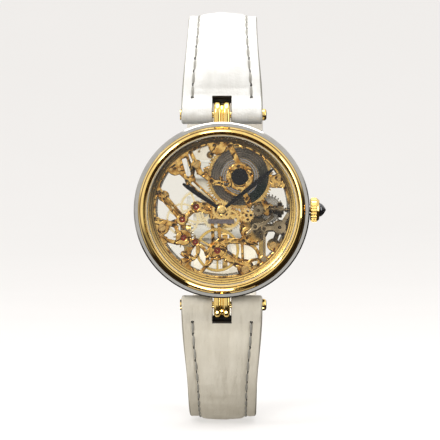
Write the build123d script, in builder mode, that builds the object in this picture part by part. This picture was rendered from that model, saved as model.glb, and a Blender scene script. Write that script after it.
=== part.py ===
from build123d import *
import math
import os

os.makedirs("parts", exist_ok=True)

# A lady's skeleton wristwatch with a hand-wound movement, buckled on its strap.
# The dial faces -Y, 12 o'clock is +Z and the crown is +X. The origin is the centre of the
# case back's outer face. A height is the distance in front of that face, towards -Y, and a
# place on the dial is an (x, z) pair from the hands' axis. All sizes are in millimetres.

# ---- driving sizes: case -------------------------------------------------------------------
CASE_R = 13.0
BODY_R = 12.35
BEZEL_R = 12.37
CREST_R = 11.6
CRYSTAL_R = 11.0
GASKET_R = 11.15
CHAMBER_R = 10.9
BACK_R = 11.3
BACK_GLASS_R = 9.5
FLANGE_BACK = 4.3
FLANGE_FRONT = 5.0
CREST_HEIGHT = 6.75
CRYSTAL_BACK = 5.6
CRYSTAL_FRONT = 6.6

# ---- driving sizes: crown and stem ---------------------------------------------------------
STEM_HEIGHT = 2.85
STEM_R = 0.33
TUBE_R = 0.8
CROWN_R = 1.8
CROWN_BACK = 13.04
CROWN_FACE = 14.4
CABOCHON_R = 1.05
CABOCHON_TIP = 15.4
CROWN_FLUTES = 22
CROWN_PULL = 0.6

# ---- driving sizes: lugs and strap ---------------------------------------------------------
BAR_REACH = 14.07
BAR_HEIGHT = 2.6
BAR_R = 0.5
LUG_R = 2.0
LUG_RIB_R = 1.65
LUG_WIDTH = 2.4
LUG_LOBE = 1.08
STRAP_WIDTH = 12.0
STRAP_TAIL_WIDTH = 10.0
STRAP_NOTCH = 2.7
STRAP_ROLL_R = 1.4
LEATHER = 2.4
LEATHER_BACK = 2.0
LEATHER_TAIL = 1.7
LINING = 0.9
BUCKLE_BAR = (38.0, -4.6)
BUCKLE_BAR_R = 0.55
BUCKLE_ROLL_R = 1.2
BUCKLE_END = (38.85, -11.9)

# ---- driving sizes: movement ---------------------------------------------------------------
PLATE_BACK = 3.6
PLATE_FRONT = 4.3
BRIDGE_BACK = 1.3
BRIDGE_FRONT = 1.75
BARREL_BRIDGE_BACK = 1.78
BARREL_BRIDGE_FRONT = 2.08
PIVOT_R = 0.09
ARBOR_R = 0.14
JEWEL_R = 0.42
JEWEL_HOLE_R = 0.11

CENTRE = (0.0, 0.0)
BARREL = (2.65, 4.90)
THIRD = (-3.76, 0.44)
FOURTH = (-5.83, -1.43)
ESCAPE = (-5.63, -4.11)
PALLET = (-3.90, -4.76)
BALANCE = (-0.66, -5.97)
MINUTE = (1.27, -1.27)
IDLER = (3.65, -0.77)
SETTING = (5.40, -0.06)
CROWN_WHEEL = (6.80, 0.0)
CLICK = (-1.75, 8.10)
YOKE = (4.92, -2.46)
LEVER = (8.55, -2.55)

BARREL_TEETH = 72
CENTRE_LEAVES = 10
CENTRE_TEETH = 64
THIRD_LEAVES = 8
THIRD_TEETH = 60
FOURTH_LEAVES = 8
FOURTH_TEETH = 70
ESCAPE_LEAVES = 7
ESCAPE_TEETH = 15
ESCAPE_R = 1.6
CANNON_TEETH = 10
MINUTE_TEETH = 30
MINUTE_LEAVES = 8
HOUR_TEETH = 32
IDLER_TEETH = 24
SETTING_TEETH = 18
CROWN_WHEEL_TEETH = 28
RATCHET_TEETH = 54
WINDING_TEETH = 16
BALANCE_R = 3.24

HOUR_ANGLE = 90 - 304.3
MINUTE_ANGLE = 90 - 51.3
HOUR_LENGTH = 6.95
MINUTE_LENGTH = 9.68


# ---- helpers -------------------------------------------------------------------------------
def dial_plane(height, at=(0, 0)):
    """A plane facing the reader at a height, with its origin on a place of the dial."""
    return Plane(origin=(at[0], -height, at[1]), x_dir=(1, 0, 0), z_dir=(0, -1, 0))


def disc(radius, back, front, at=(0, 0), bore=0, mode=Mode.ADD):
    """A round plate or post between two heights, with a bore if one is given."""
    with BuildSketch(dial_plane(back, at)) as plate:
        Circle(radius)
        if bore:
            Circle(bore, mode=Mode.SUBTRACT)
    extrude(plate.sketch, amount=front - back, mode=mode)


def turned(outline, at=(0, 0), mode=Mode.ADD):
    """A closed outline of (radius, height) points, turned about an axis through the dial."""
    with BuildSketch(Plane(origin=(at[0], 0, at[1]))) as section:
        with BuildLine():
            Polyline([(radius, -height) for radius, height in outline], close=True)
        make_face()
    revolve(section.sketch, axis=Axis((at[0], 0, at[1]), (0, 1, 0)), mode=mode)


def stem_turned(outline, mode=Mode.ADD):
    """A closed outline of (x, radius) points, turned about the stem's axis."""
    with BuildSketch(Plane(origin=(0, -STEM_HEIGHT, 0))) as section:
        with BuildLine():
            Polyline(outline, close=True)
        make_face()
    revolve(section.sketch, axis=Axis((0, -STEM_HEIGHT, 0), (1, 0, 0)), mode=mode)


def polar(radius, degrees, centre=(0, 0)):
    """The point at a radius and an angle from a centre."""
    angle = math.radians(degrees)
    return (centre[0] + radius * math.cos(angle), centre[1] + radius * math.sin(angle))


def bearing(start, end):
    """The direction from one point to another, in degrees."""
    return math.degrees(math.atan2(end[1] - start[1], end[0] - start[0]))


def bar(start, end, width, mode=Mode.ADD):
    """A round-ended arm between two points of a sketch."""
    middle = ((start[0] + end[0]) / 2, (start[1] + end[1]) / 2)
    with Locations(middle):
        SlotCenterToCenter(math.dist(start, end), width, rotation=bearing(start, end), mode=mode)


def rails(start, end, width, slot):
    """An arm with a long slot that leaves two rails."""
    bar(start, end, width)
    angle = bearing(start, end)
    inset = width * 0.6
    bar(polar(inset, angle, start), polar(-inset, angle, end), slot, mode=Mode.SUBTRACT)


def scroll(start, middle, end, width):
    """A curved rib of even width through three points."""
    with BuildLine() as curve:
        ThreePointArc(start, middle, end)
    trace(curve.line, line_width=width)


def discs(places, radius, mode=Mode.ADD):
    """Equal circles at several places of a sketch."""
    with Locations(*places):
        Circle(radius, mode=mode)


def toothed(teeth, module, phase=0, share=0.47, tip=0.95, root=1.25):
    """A gear's outline, with a tooth centred on the phase angle. Share is a tooth's part of
    the pitch, at the pitch circle."""
    pitch = 360 / teeth
    root_r = module * (teeth / 2 - root)
    tip_r = module * (teeth / 2 + tip)
    corners = []
    for tooth in range(teeth):
        middle = phase + tooth * pitch
        corners += [
            polar(root_r, middle - pitch * share * 0.62),
            polar(tip_r, middle - pitch * share * 0.30),
            polar(tip_r, middle + pitch * share * 0.30),
            polar(root_r, middle + pitch * share * 0.62),
        ]
    with BuildLine() as outline:
        Polyline(corners, close=True)
    make_face(outline.line)


def opened(rim_r, hub_r, spokes, spoke_width, start_angle=0):
    """Cuts a wheel's web away and leaves a hub and its spokes."""
    Circle(rim_r, mode=Mode.SUBTRACT)
    Circle(hub_r)
    with PolarLocations((rim_r + hub_r) / 2, spokes, start_angle=start_angle):
        Rectangle(rim_r - hub_r + 0.16, spoke_width)


def pinion(teeth, module, back, front, at, phase=0):
    """A pinion of slim leaves between two heights."""
    with BuildSketch(dial_plane(back, at)) as leaves:
        toothed(teeth, module, phase, share=0.40, tip=0.75, root=1.3)
    extrude(leaves.sketch, amount=front - back)


def gap_phase(driver, driven, teeth):
    """The phase that turns a driven gear's gap towards its driver."""
    return bearing(driven, driver) + 180 / teeth


def finish(piece, label):
    """Names a finished piece and writes its STEP file."""
    piece.part.label = label
    export_step(piece.part, "parts/" + label + ".step")


def pitch_module(one, other, teeth_sum):
    """The module that puts two gears in mesh at their distance."""
    return 2 * math.dist(one, other) / teeth_sum


# ---- case ----------------------------------------------------------------------------------
LUG_SIDES = (1, -1)
LUG_ROOT = 11.9

with BuildPart() as case_middle:
    turned(
        [
            (BACK_R + 0.1, 0.55),
            (11.9, 0.62),
            (BODY_R, 1.15),
            (BODY_R, FLANGE_BACK - 0.15),
            (CASE_R - 0.12, FLANGE_BACK),
            (CASE_R, FLANGE_BACK + 0.14),
            (CASE_R, FLANGE_FRONT - 0.2),
            (CASE_R - 0.2, FLANGE_FRONT),
            (CHAMBER_R + 0.1, FLANGE_FRONT),
            (CHAMBER_R + 0.1, 4.95),
            (CHAMBER_R, 4.95),
            (CHAMBER_R, 0.75),
            (BACK_R + 0.1, 0.75),
        ]
    )
    stem_turned([(9, 0), (14, 0), (14, TUBE_R - 0.12), (9, TUBE_R - 0.12)], mode=Mode.SUBTRACT)
    # crown tube
    stem_turned(
        [(11.0, STEM_R + 0.06), (11.0, TUBE_R - 0.12), (BODY_R + 0.1, TUBE_R - 0.12),
         (BODY_R + 0.1, TUBE_R), (13.35, TUBE_R), (13.35, STEM_R + 0.06)]
    )
finish(case_middle, "case_middle")

with BuildPart() as bezel:
    turned(
        [
            (GASKET_R, FLANGE_FRONT),
            (BEZEL_R, FLANGE_FRONT),
            (BEZEL_R, FLANGE_FRONT + 0.45),
            (BEZEL_R - 0.1, FLANGE_FRONT + 0.8),
            (BEZEL_R - 0.32, FLANGE_FRONT + 1.25),
            (CREST_R + 0.2, CREST_HEIGHT - 0.12),
            (CREST_R, CREST_HEIGHT),
            (CREST_R - 0.16, CREST_HEIGHT - 0.04),
            (CREST_R - 0.26, CREST_HEIGHT - 0.24),
            (GASKET_R + 0.02, CREST_HEIGHT - 0.3),
            (GASKET_R, CREST_HEIGHT - 0.4),
        ]
    )
finish(bezel, "bezel")

with BuildPart() as crystal:
    turned(
        [
            (0, CRYSTAL_BACK),
            (CRYSTAL_R, CRYSTAL_BACK),
            (CRYSTAL_R, CRYSTAL_FRONT - 0.25),
            (CRYSTAL_R - 0.28, CRYSTAL_FRONT - 0.03),
            (CRYSTAL_R - 0.9, CRYSTAL_FRONT),
            (0, CRYSTAL_FRONT + 0.12),
        ]
    )
finish(crystal, "crystal")

with BuildPart() as rehaut:
    turned(
        [
            (10.88, 4.33),
            (10.05, 4.33),
            (10.05, 4.52),
            (10.32, 4.58),
            (10.36, 4.96),
            (10.6, 5.02),
            (10.66, 5.42),
            (10.88, 5.5),
        ]
    )
    with BuildSketch(dial_plane(4.0)):
        with PolarLocations(10.48, 60):
            Circle(0.06)
    extrude(amount=2.0, mode=Mode.SUBTRACT)
finish(rehaut, "rehaut")

with BuildPart() as case_back:
    turned(
        [
            (BACK_GLASS_R + 0.1, 0),
            (BACK_R - 0.5, 0),
            (BACK_R, 0.3),
            (BACK_R, 0.65),
            (CHAMBER_R - 0.1, 0.75),
            (CHAMBER_R - 0.1, 1.1),
            (10.3, 1.1),
            (10.3, 0.55),
            (9.85, 0.55),
            (9.85, 0.4),
            (BACK_GLASS_R + 0.1, 0.35),
        ]
    )
    with BuildSketch(dial_plane(-0.1)):
        with PolarLocations(10.6, 6):
            Rectangle(0.5, 1.1)
    extrude(amount=0.35, mode=Mode.SUBTRACT)
finish(case_back, "case_back")

with BuildPart() as back_crystal:
    turned(
        [
            (0, 0),
            (BACK_GLASS_R, 0),
            (BACK_GLASS_R, 0.56),
            (9.9, 0.56),
            (9.9, 0.95),
            (0, 0.95),
        ]
    )
finish(back_crystal, "back_crystal")

with BuildPart() as gaskets:
    turned([(CRYSTAL_R, 5.55), (GASKET_R, 5.55), (GASKET_R, 6.3), (CRYSTAL_R, 6.3)])
    turned([(9.92, 0.56), (10.12, 0.56), (10.12, 0.95), (9.92, 0.95)])
    turned([(BACK_R + 0.01, 0.56), (BACK_R + 0.09, 0.56), (BACK_R + 0.09, 0.74), (BACK_R + 0.01, 0.74)])
finish(gaskets, "gaskets")

# each lug is two rounded fingers with a lower rib between them, bored for the strap bar
def lug_side(radius):
    """The side view of a lug, from its root to round the strap bar."""
    with Locations((-BAR_HEIGHT, BAR_REACH)):
        Circle(radius)
    with Locations((-BAR_HEIGHT, (BAR_REACH + LUG_ROOT) / 2)):
        Rectangle(2 * radius, BAR_REACH - LUG_ROOT)


with BuildPart() as lug:
    for inner_face in (LUG_WIDTH / 2 - LUG_LOBE, -LUG_WIDTH / 2):
        with BuildSketch(Plane.YZ.offset(inner_face)):
            lug_side(LUG_R)
        extrude(amount=LUG_LOBE)
    rims = lug.edges().filter_by(GeomType.CIRCLE) + lug.edges().filter_by(Axis.Z)
    fillet(rims, radius=0.44)
    with BuildSketch(Plane.YZ):
        lug_side(LUG_RIB_R)
    extrude(amount=0.4, both=True)
    with BuildSketch(Plane.YZ):
        with Locations((-BAR_HEIGHT, BAR_REACH)):
            Circle(BAR_R)
    extrude(amount=LUG_WIDTH, both=True, mode=Mode.SUBTRACT)
    disc(BODY_R, -1, 8, mode=Mode.SUBTRACT)
    disc(CASE_R + 0.01, FLANGE_BACK - 0.16, 8, mode=Mode.SUBTRACT)

with BuildPart() as lugs:
    add(lug.part)
    mirror(about=Plane.XY)
finish(lugs, "lugs")

with BuildPart() as strap_bars:
    for side in LUG_SIDES:
        with BuildSketch(Plane.YZ):
            with Locations((-BAR_HEIGHT, side * BAR_REACH)):
                Circle(BAR_R)
        extrude(amount=STRAP_WIDTH / 2, both=True)
    for side in LUG_SIDES:
        with BuildSketch(Plane.YZ.offset(STRAP_WIDTH / 2)):
            with Locations((-BAR_HEIGHT, side * BAR_REACH)):
                Circle(0.875)
        domed = extrude(amount=0.6)
        fillet(domed.edges().filter_by(GeomType.CIRCLE).sort_by(Axis.X)[-1], radius=0.4)
        with BuildSketch(Plane.YZ.offset(-STRAP_WIDTH / 2)):
            with Locations((-BAR_HEIGHT, side * BAR_REACH)):
                Circle(0.8)
        extrude(amount=-0.2)
finish(strap_bars, "strap_bars")

# ---- crown, stem and keyless works ---------------------------------------------------------
with BuildPart() as crown:
    stem_turned(
        [
            (CROWN_BACK, TUBE_R + 0.08),
            (CROWN_BACK, CROWN_R - 0.25),
            (CROWN_BACK + 0.18, CROWN_R - 0.08),
            (CROWN_BACK + 0.25, CROWN_R),
            (CROWN_FACE - 0.42, CROWN_R),
            (CROWN_FACE - 0.3, CROWN_R - 0.14),
            (CROWN_FACE - 0.06, CROWN_R - 0.3),
            (CROWN_FACE, CROWN_R - 0.5),
            (CROWN_FACE, CABOCHON_R),
            (CROWN_FACE - 0.35, CABOCHON_R),
            (CROWN_FACE - 0.35, 0),
            (13.5, 0),
            (13.5, TUBE_R + 0.08),
        ]
    )
    with BuildSketch(Plane.YZ.offset(CROWN_BACK - 0.1)):
        with Locations((-STEM_HEIGHT, 0)):
            with PolarLocations(CROWN_R + 0.07, CROWN_FLUTES):
                Circle(0.17)
    extrude(amount=CROWN_FACE - 0.42 - CROWN_BACK + 0.1, mode=Mode.SUBTRACT)
finish(crown, "crown")

with BuildPart() as crown_cabochon:
    with BuildSketch(Plane(origin=(0, -STEM_HEIGHT, 0))):
        with BuildLine():
            Line((CROWN_FACE - 0.35, 0), (CROWN_FACE - 0.35, CABOCHON_R - 0.01))
            Line((CROWN_FACE - 0.35, CABOCHON_R - 0.01), (CROWN_FACE, CABOCHON_R - 0.01))
            Spline(
                (CROWN_FACE, CABOCHON_R - 0.01), (CROWN_FACE + 0.3, 0.93),
                (CROWN_FACE + 0.65, 0.6), (CABOCHON_TIP, 0),
            )
            Line((CABOCHON_TIP, 0), (CROWN_FACE - 0.35, 0))
        make_face()
    revolve(axis=Axis((0, -STEM_HEIGHT, 0), (1, 0, 0)))
finish(crown_cabochon, "crown_cabochon")

CLUTCH_BACK = 6.95
CLUTCH_FRONT = 8.22
PINION_BACK = 8.25
PINION_FRONT = 9.15
STEM_SQUARE = 0.42

with BuildPart() as stem:
    stem_turned(
        [
            (7.0, 0), (7.0, 0.2), (9.3, 0.2), (9.3, STEM_R), (9.62, STEM_R), (9.62, 0.2),
            (9.98, 0.2), (9.98, STEM_R), (13.5, STEM_R), (13.5, 0),
        ]
    )
    with Locations((8.15, -STEM_HEIGHT, 0)):
        Box(2.3, STEM_SQUARE, STEM_SQUARE)
finish(stem, "stem")

with BuildPart() as winding_pinion:
    with BuildSketch(Plane.YZ.offset(PINION_BACK)):
        with Locations((-STEM_HEIGHT, 0)):
            Circle(0.9)
            with PolarLocations(0.98, WINDING_TEETH):
                Rectangle(0.34, 0.16)
    extrude(amount=0.62)
    stem_turned([(PINION_BACK, 0), (PINION_BACK, 0.7), (PINION_FRONT, 0.7), (PINION_FRONT, 0)])
    stem_turned([(8, 0), (8, 0.36), (9.3, 0.36), (9.3, 0)], mode=Mode.SUBTRACT)
finish(winding_pinion, "winding_pinion")

with BuildPart() as clutch:
    stem_turned(
        [
            (CLUTCH_BACK, 0), (CLUTCH_BACK, 0.66), (7.3, 0.66), (7.3, 0.5), (7.66, 0.5),
            (7.66, 0.68), (CLUTCH_FRONT, 0.68), (CLUTCH_FRONT, 0),
        ]
    )
    with BuildSketch(Plane.YZ.offset(CLUTCH_BACK)):
        with Locations((-STEM_HEIGHT, 0)):
            with PolarLocations(0.58, 12):
                Rectangle(0.3, 0.12)
    extrude(amount=0.14, mode=Mode.SUBTRACT)
    with Locations((7.6, -STEM_HEIGHT, 0)):
        Box(2.0, STEM_SQUARE + 0.04, STEM_SQUARE + 0.04, mode=Mode.SUBTRACT)
finish(clutch, "clutch")

COVER_HEIGHT = 4.32
SPRING_FOOT = (6.20, -7.25)

with BuildPart() as setting_lever:
    with BuildSketch(dial_plane(3.86)):
        discs([LEVER], 0.62)
        bar(LEVER, (9.72, -0.75), 0.55)
        bar(LEVER, (9.55, -3.35), 0.5)
        bar((9.55, -3.35), (9.3, -4.0), 0.36)
        discs([LEVER], 0.26, mode=Mode.SUBTRACT)
    extrude(amount=0.26)
    with BuildSketch(dial_plane(3.02)):
        with Locations((9.8, -0.45)):
            Rectangle(0.26, 0.2)
        with Locations((9.8, -0.62)):
            Rectangle(0.26, 0.3)
    extrude(amount=1.1)
finish(setting_lever, "setting_lever")

with BuildPart() as yoke:
    with BuildSketch(dial_plane(3.86)):
        discs([YOKE], 0.55)
        bar(YOKE, (6.35, -1.95), 0.6)
        bar((6.35, -1.95), (7.48, -1.0), 0.5)
        bar(YOKE, (3.75, -3.55), 0.4)
        discs([YOKE], 0.26, mode=Mode.SUBTRACT)
    extrude(amount=0.26)
    with BuildSketch(dial_plane(3.42)):
        with Locations((7.48, -0.55)):
            Rectangle(0.16, 0.7)
    extrude(amount=0.7)
finish(yoke, "yoke")

with BuildPart() as lever_spring:
    with BuildSketch(dial_plane(COVER_HEIGHT)):
        discs([LEVER], 0.95)
        bar(LEVER, (6.25, -2.75), 0.6)
        bar((6.25, -2.75), SPRING_FOOT, 0.3)
        bar(LEVER, (9.3, -1.5), 0.5)
        discs([SPRING_FOOT], 0.42)
        discs([(6.25, -2.75)], 0.5)
        discs([LEVER, (6.25, -2.75)], 0.24, mode=Mode.SUBTRACT)
    extrude(amount=0.16)
finish(lever_spring, "lever_spring")

idler_phase = gap_phase(MINUTE, IDLER, IDLER_TEETH)
with BuildPart() as setting_idler:
    with BuildSketch(dial_plane(4.36, IDLER)):
        toothed(IDLER_TEETH, pitch_module(MINUTE, IDLER, MINUTE_TEETH + IDLER_TEETH), idler_phase)
        with PolarLocations(0.66, 5):
            Circle(0.2, mode=Mode.SUBTRACT)
        Circle(0.22, mode=Mode.SUBTRACT)
    extrude(amount=0.2)
finish(setting_idler, "setting_idler")

# the idler's teeth fix where the setting wheel's gap must lie
idler_pitch = 360 / IDLER_TEETH
idler_offset = (bearing(IDLER, SETTING) - idler_phase) % idler_pitch / idler_pitch
setting_phase = bearing(SETTING, IDLER) + (0.5 + idler_offset) * 360 / SETTING_TEETH
with BuildPart() as setting_wheel:
    with BuildSketch(dial_plane(4.36, SETTING)):
        toothed(
            SETTING_TEETH, pitch_module(IDLER, SETTING, IDLER_TEETH + SETTING_TEETH), setting_phase
        )
        Circle(0.22, mode=Mode.SUBTRACT)
    extrude(amount=0.2)
    disc(0.42, 3.62, 4.36, SETTING, bore=0.22)
    with BuildSketch(dial_plane(3.47, SETTING)):
        toothed(18, 0.098)
        Circle(0.22, mode=Mode.SUBTRACT)
    extrude(amount=0.15)
finish(setting_wheel, "setting_wheel")

# ---- plates and bridges --------------------------------------------------------------------
RIM_INNER = 9.75
BED = (4.75, -2.75)
BLOCK = (-8.85, -2.60)
LOWER_SCREW = (3.46, -8.76)
LOWER_BOSS = (-5.63, -7.94)
RIGHT_BOSS = (7.60, -5.14)
TOP_BOSS = (-0.63, 9.55)
TRIPLE_BOSS = (-6.86, 6.33)
ARM_SCREW = (-3.76, 6.75)
SETTING_FOOT = (4.6, -2.2)
BARREL_FEET = ((-0.63, 9.55), (8.25, 4.35))
TRAIN_FEET = ((-8.66, 1.98), (-8.85, -2.60))
COCK_FOOT = (3.46, -8.60)
PALLET_FEET = ((-4.62, -7.12), (-5.70, -6.55))

with BuildPart() as main_plate:
    with BuildSketch(dial_plane(PLATE_BACK)):
        Circle(10.8)
        Circle(RIM_INNER, mode=Mode.SUBTRACT)
        # ring that carries the barrel arbor, and its three arms
        discs([BARREL], 2.04)
        bar((2.5, 6.8), (1.05, 9.85), 0.8)
        rails((1.3, 3.75), (-1.1, 4.05), 0.85, 0.22)
        bar((-1.1, 4.05), (-3.3, 5.6), 0.75)
        bar((-3.3, 5.6), ARM_SCREW, 0.9)
        bar((-2.3, 5.0), (-2.3, 5.95), 0.5)
        discs([(-2.3, 5.95)], 0.42)
        bar((3.0, 3.2), (4.2, 0.55), 0.85)
        bar((4.2, 0.55), (5.6, 0.95), 0.6)
        discs([TOP_BOSS], 1.4)
        discs([ARM_SCREW], 0.72)
        discs([TRIPLE_BOSS], 1.25)
        bar(TRIPLE_BOSS, polar(10.2, 137), 1.2)
        bar(TRIPLE_BOSS, (-5.3, 4.9), 0.8)
        # slotted arm from the rim to the centre
        rails((-5.8, 8.3), (-4.65, 4.4), 1.6, 0.7)
        bar((-5.8, 8.3), polar(10.1, 124), 1.5)
        bar((-4.6, 8.55), ARM_SCREW, 0.6)
        rails((-4.75, 4.35), (-1.0, 0.9), 1.0, 0.36)
        discs([CENTRE], 1.35)
        with Locations((0.1, -0.5)):
            RectangleRounded(4.0, 1.5, 0.4)
        scroll(polar(2.75, 178, BARREL), polar(2.75, 220, BARREL), polar(2.75, 262, BARREL), 0.42)
        # centre to third jewel
        scroll(CENTRE, (-1.9, 0.75), THIRD, 0.75)
        scroll(CENTRE, (-1.9, -0.35), THIRD, 0.6)
        discs([THIRD], 0.86)
        # slotted arm from the rim to the fourth jewel
        rails(polar(10.1, 162), FOURTH, 1.05, 0.38)
        discs([FOURTH], 0.86)
        bar(FOURTH, THIRD, 0.5)
        # block on the rim, with its arm to the escape wheel's jewel
        bar((-9.5, -1.55), (-6.95, -2.2), 0.8)
        discs([BLOCK], 1.12)
        bar((-9.6, -1.6), (-9.4, -4.1), 1.2)
        bar((-6.95, -2.2), (-6.5, -3.2), 0.55)
        bar((-9.4, -4.15), (-6.5, -4.9), 0.6)
        discs([(-9.05, -3.65)], 0.55)
        discs([ESCAPE], 1.15)
        # pallet jewel and the left lower filigree
        bar(ESCAPE, PALLET, 0.55)
        discs([PALLET], 0.62)
        scroll(PALLET, (-3.55, -6.5), (-4.62, -7.4), 0.5)
        scroll((-3.3, -5.2), (-2.1, -7.2), (-3.5, -9.3), 0.55)
        scroll((-2.7, -8.6), (-1.8, -7.9), (-1.3, -6.6), 0.45)
        bar(LOWER_BOSS, polar(10.2, 234), 1.0)
        bar(LOWER_BOSS, (-3.5, -9.3), 0.55)
        discs([LOWER_BOSS], 0.85)
        bar((-4.62, -7.4), LOWER_BOSS, 0.6)
        # column from the centre to the balance's setting, and on to the lower screw
        rails((-0.95, -0.9), (-0.75, -5.2), 1.5, 0.5)
        discs([BALANCE], 1.5)
        bar(BALANCE, LOWER_SCREW, 0.9)
        discs([LOWER_SCREW], 1.15)
        bar(LOWER_SCREW, polar(10.2, 293), 1.1)
        # frame of the small window right of the column
        bar((-0.4, -4.6), (3.0, -4.6), 0.8)
        bar((3.0, -4.6), (3.1, -7.4), 0.42)
        bar((0.6, -7.5), (3.1, -7.4), 0.42)
        # right lower filigree
        scroll((3.0, -4.9), (5.2, -6.0), (5.0, -8.7), 0.5)
        scroll((3.46, -8.3), (4.6, -7.4), (6.3, -7.6), 0.45)
        bar((5.0, -8.7), polar(10.1, 300), 0.6)
        # bed under the keyless works, with a boss for each pivot
        discs([BED], 2.15)
        bar((3.0, -4.6), BED, 1.0)
        bar(BED, (2.2, -0.6), 1.2)
        discs([IDLER], 0.7)
        discs([RIGHT_BOSS], 0.95)
        bar(RIGHT_BOSS, polar(10.1, 324), 1.0)
        discs([LEVER], 1.1)
        bar(LEVER, BED, 1.2)
        bar(LEVER, polar(10.1, 341), 1.6)
        bar(LEVER, RIGHT_BOSS, 0.7)
        discs([SPRING_FOOT], 0.6)
        bar(SPRING_FOOT, polar(10.1, 311), 0.8)
        # block beside the barrel, above the crown
        with Locations((8.25, 4.2)):
            RectangleRounded(2.1, 1.9, 0.3)
        bar((8.25, 4.2), polar(10.1, 27), 1.9)
        # left lower rim tie
        bar((-8.6, -4.4), polar(10.1, 210), 1.2)
    extrude(amount=PLATE_FRONT - PLATE_BACK)
    with BuildSketch(dial_plane(PLATE_BACK - 1)):
        Circle(12)
        Circle(10.8, mode=Mode.SUBTRACT)
        discs([BARREL], 1.2)
        discs([CENTRE], 0.42)
        discs([THIRD, FOURTH, ESCAPE, PALLET], JEWEL_R)
        discs([BALANCE], 1.1)
    extrude(amount=3, mode=Mode.SUBTRACT)
    # the keyless levers lie in a sunk bed, and the stem has a clear way in
    with BuildSketch(dial_plane(3.84)):
        with Locations((7.6, -2.1)):
            Rectangle(6.4, 5.0)
        discs([BED], 1.95)
        Circle(10.65, mode=Mode.INTERSECT)
        discs([IDLER], 0.6, mode=Mode.SUBTRACT)
    extrude(amount=2, mode=Mode.SUBTRACT)
    with BuildSketch(dial_plane(PLATE_BACK - 1)):
        with Locations((8.6, -0.2)):
            Rectangle(5.2, 2.1)
        discs([SETTING], 1.1)
    extrude(amount=3, mode=Mode.SUBTRACT)
    # posts of the wheels and levers, and the foot that reaches under the setting wheel
    with BuildSketch(dial_plane(3.84)):
        discs([YOKE, LEVER], 0.24)
    extrude(amount=COVER_HEIGHT - 3.84)
    disc(0.2, PLATE_FRONT, 4.6, MINUTE)
    disc(0.2, PLATE_FRONT, 4.6, IDLER)
    with BuildSketch(dial_plane(3.15)):
        bar(SETTING, SETTING_FOOT, 0.5)
    extrude(amount=0.26)
    disc(0.3, 3.15, 3.7, SETTING_FOOT)
    disc(0.2, 3.4, 4.6, SETTING)
finish(main_plate, "main_plate")

with BuildPart() as barrel_bridge:
    with BuildSketch(dial_plane(BARREL_BRIDGE_BACK)):
        discs([BARREL], 1.9)
        bar(BARREL, TOP_BOSS, 1.5)
        bar(BARREL, BARREL_FEET[1], 1.5)
        discs(BARREL_FEET, 0.95)
        bar(BARREL, CROWN_WHEEL, 1.3)
        discs([CROWN_WHEEL], 0.95)
        bar(CLICK, TOP_BOSS, 0.5)
        discs([CLICK], 0.42)
        discs([BARREL], 0.82, mode=Mode.SUBTRACT)
    extrude(amount=BARREL_BRIDGE_FRONT - BARREL_BRIDGE_BACK)
    disc(0.42, 1.38, BARREL_BRIDGE_BACK, CROWN_WHEEL)
    disc(0.2, 1.5, BARREL_BRIDGE_BACK, CLICK)
    for foot in BARREL_FEET:
        disc(0.55, BARREL_BRIDGE_FRONT, PLATE_BACK, foot)
finish(barrel_bridge, "barrel_bridge")

with BuildPart() as train_bridge:
    with BuildSketch(dial_plane(BRIDGE_BACK)):
        discs([CENTRE], 0.95)
        discs([THIRD, FOURTH, ESCAPE], 0.85)
        bar(CENTRE, THIRD, 1.0)
        bar(THIRD, FOURTH, 0.9)
        bar(FOURTH, ESCAPE, 0.9)
        bar(FOURTH, TRAIN_FEET[0], 1.0)
        bar(FOURTH, TRAIN_FEET[1], 0.8)
        discs(TRAIN_FEET, 0.85)
        discs([THIRD, FOURTH, ESCAPE], JEWEL_R, mode=Mode.SUBTRACT)
        discs([CENTRE], 0.16, mode=Mode.SUBTRACT)
    extrude(amount=BRIDGE_FRONT - BRIDGE_BACK)
    for foot in TRAIN_FEET:
        disc(0.55, BRIDGE_FRONT, PLATE_BACK, foot)
finish(train_bridge, "train_bridge")

with BuildPart() as balance_cock:
    with BuildSketch(dial_plane(BRIDGE_BACK)):
        discs([BALANCE], 1.35)
        bar(BALANCE, COCK_FOOT, 1.5)
        discs([COCK_FOOT], 1.25)
        discs([BALANCE], 0.72, mode=Mode.SUBTRACT)
    extrude(amount=BRIDGE_FRONT - BRIDGE_BACK)
    disc(0.85, BRIDGE_FRONT, PLATE_BACK, COCK_FOOT)
finish(balance_cock, "balance_cock")

with BuildPart() as pallet_cock:
    with BuildSketch(dial_plane(2.1)):
        discs([PALLET], 0.55)
        bar(PALLET, (-4.9, -6.1), 0.7)
        bar((-4.9, -6.1), (-5.16, -6.85), 0.9)
        bar(*PALLET_FEET, 0.9)
        discs([PALLET], 0.3, mode=Mode.SUBTRACT)
    extrude(amount=0.3)
    for foot in PALLET_FEET:
        disc(0.3, 2.4, PLATE_BACK, foot)
finish(pallet_cock, "pallet_cock")

with BuildPart() as jewels:
    for at in (THIRD, FOURTH, ESCAPE, PALLET):
        disc(JEWEL_R, 3.75, 4.15, at, bore=JEWEL_HOLE_R)
    for at in (THIRD, FOURTH, ESCAPE):
        disc(JEWEL_R, 1.4, 1.7, at, bore=JEWEL_HOLE_R)
    disc(0.3, 2.12, 2.38, PALLET, bore=JEWEL_HOLE_R)
    disc(0.5, 3.95, 4.15, BALANCE, bore=JEWEL_HOLE_R)
    disc(0.4, 1.42, 1.62, BALANCE, bore=JEWEL_HOLE_R)
finish(jewels, "jewels")

with BuildPart() as shock_settings:
    disc(1.1, 3.7, 4.38, BALANCE, bore=0.5)
    disc(0.72, 1.2, 1.7, BALANCE, bore=0.4)
finish(shock_settings, "shock_settings")

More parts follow.
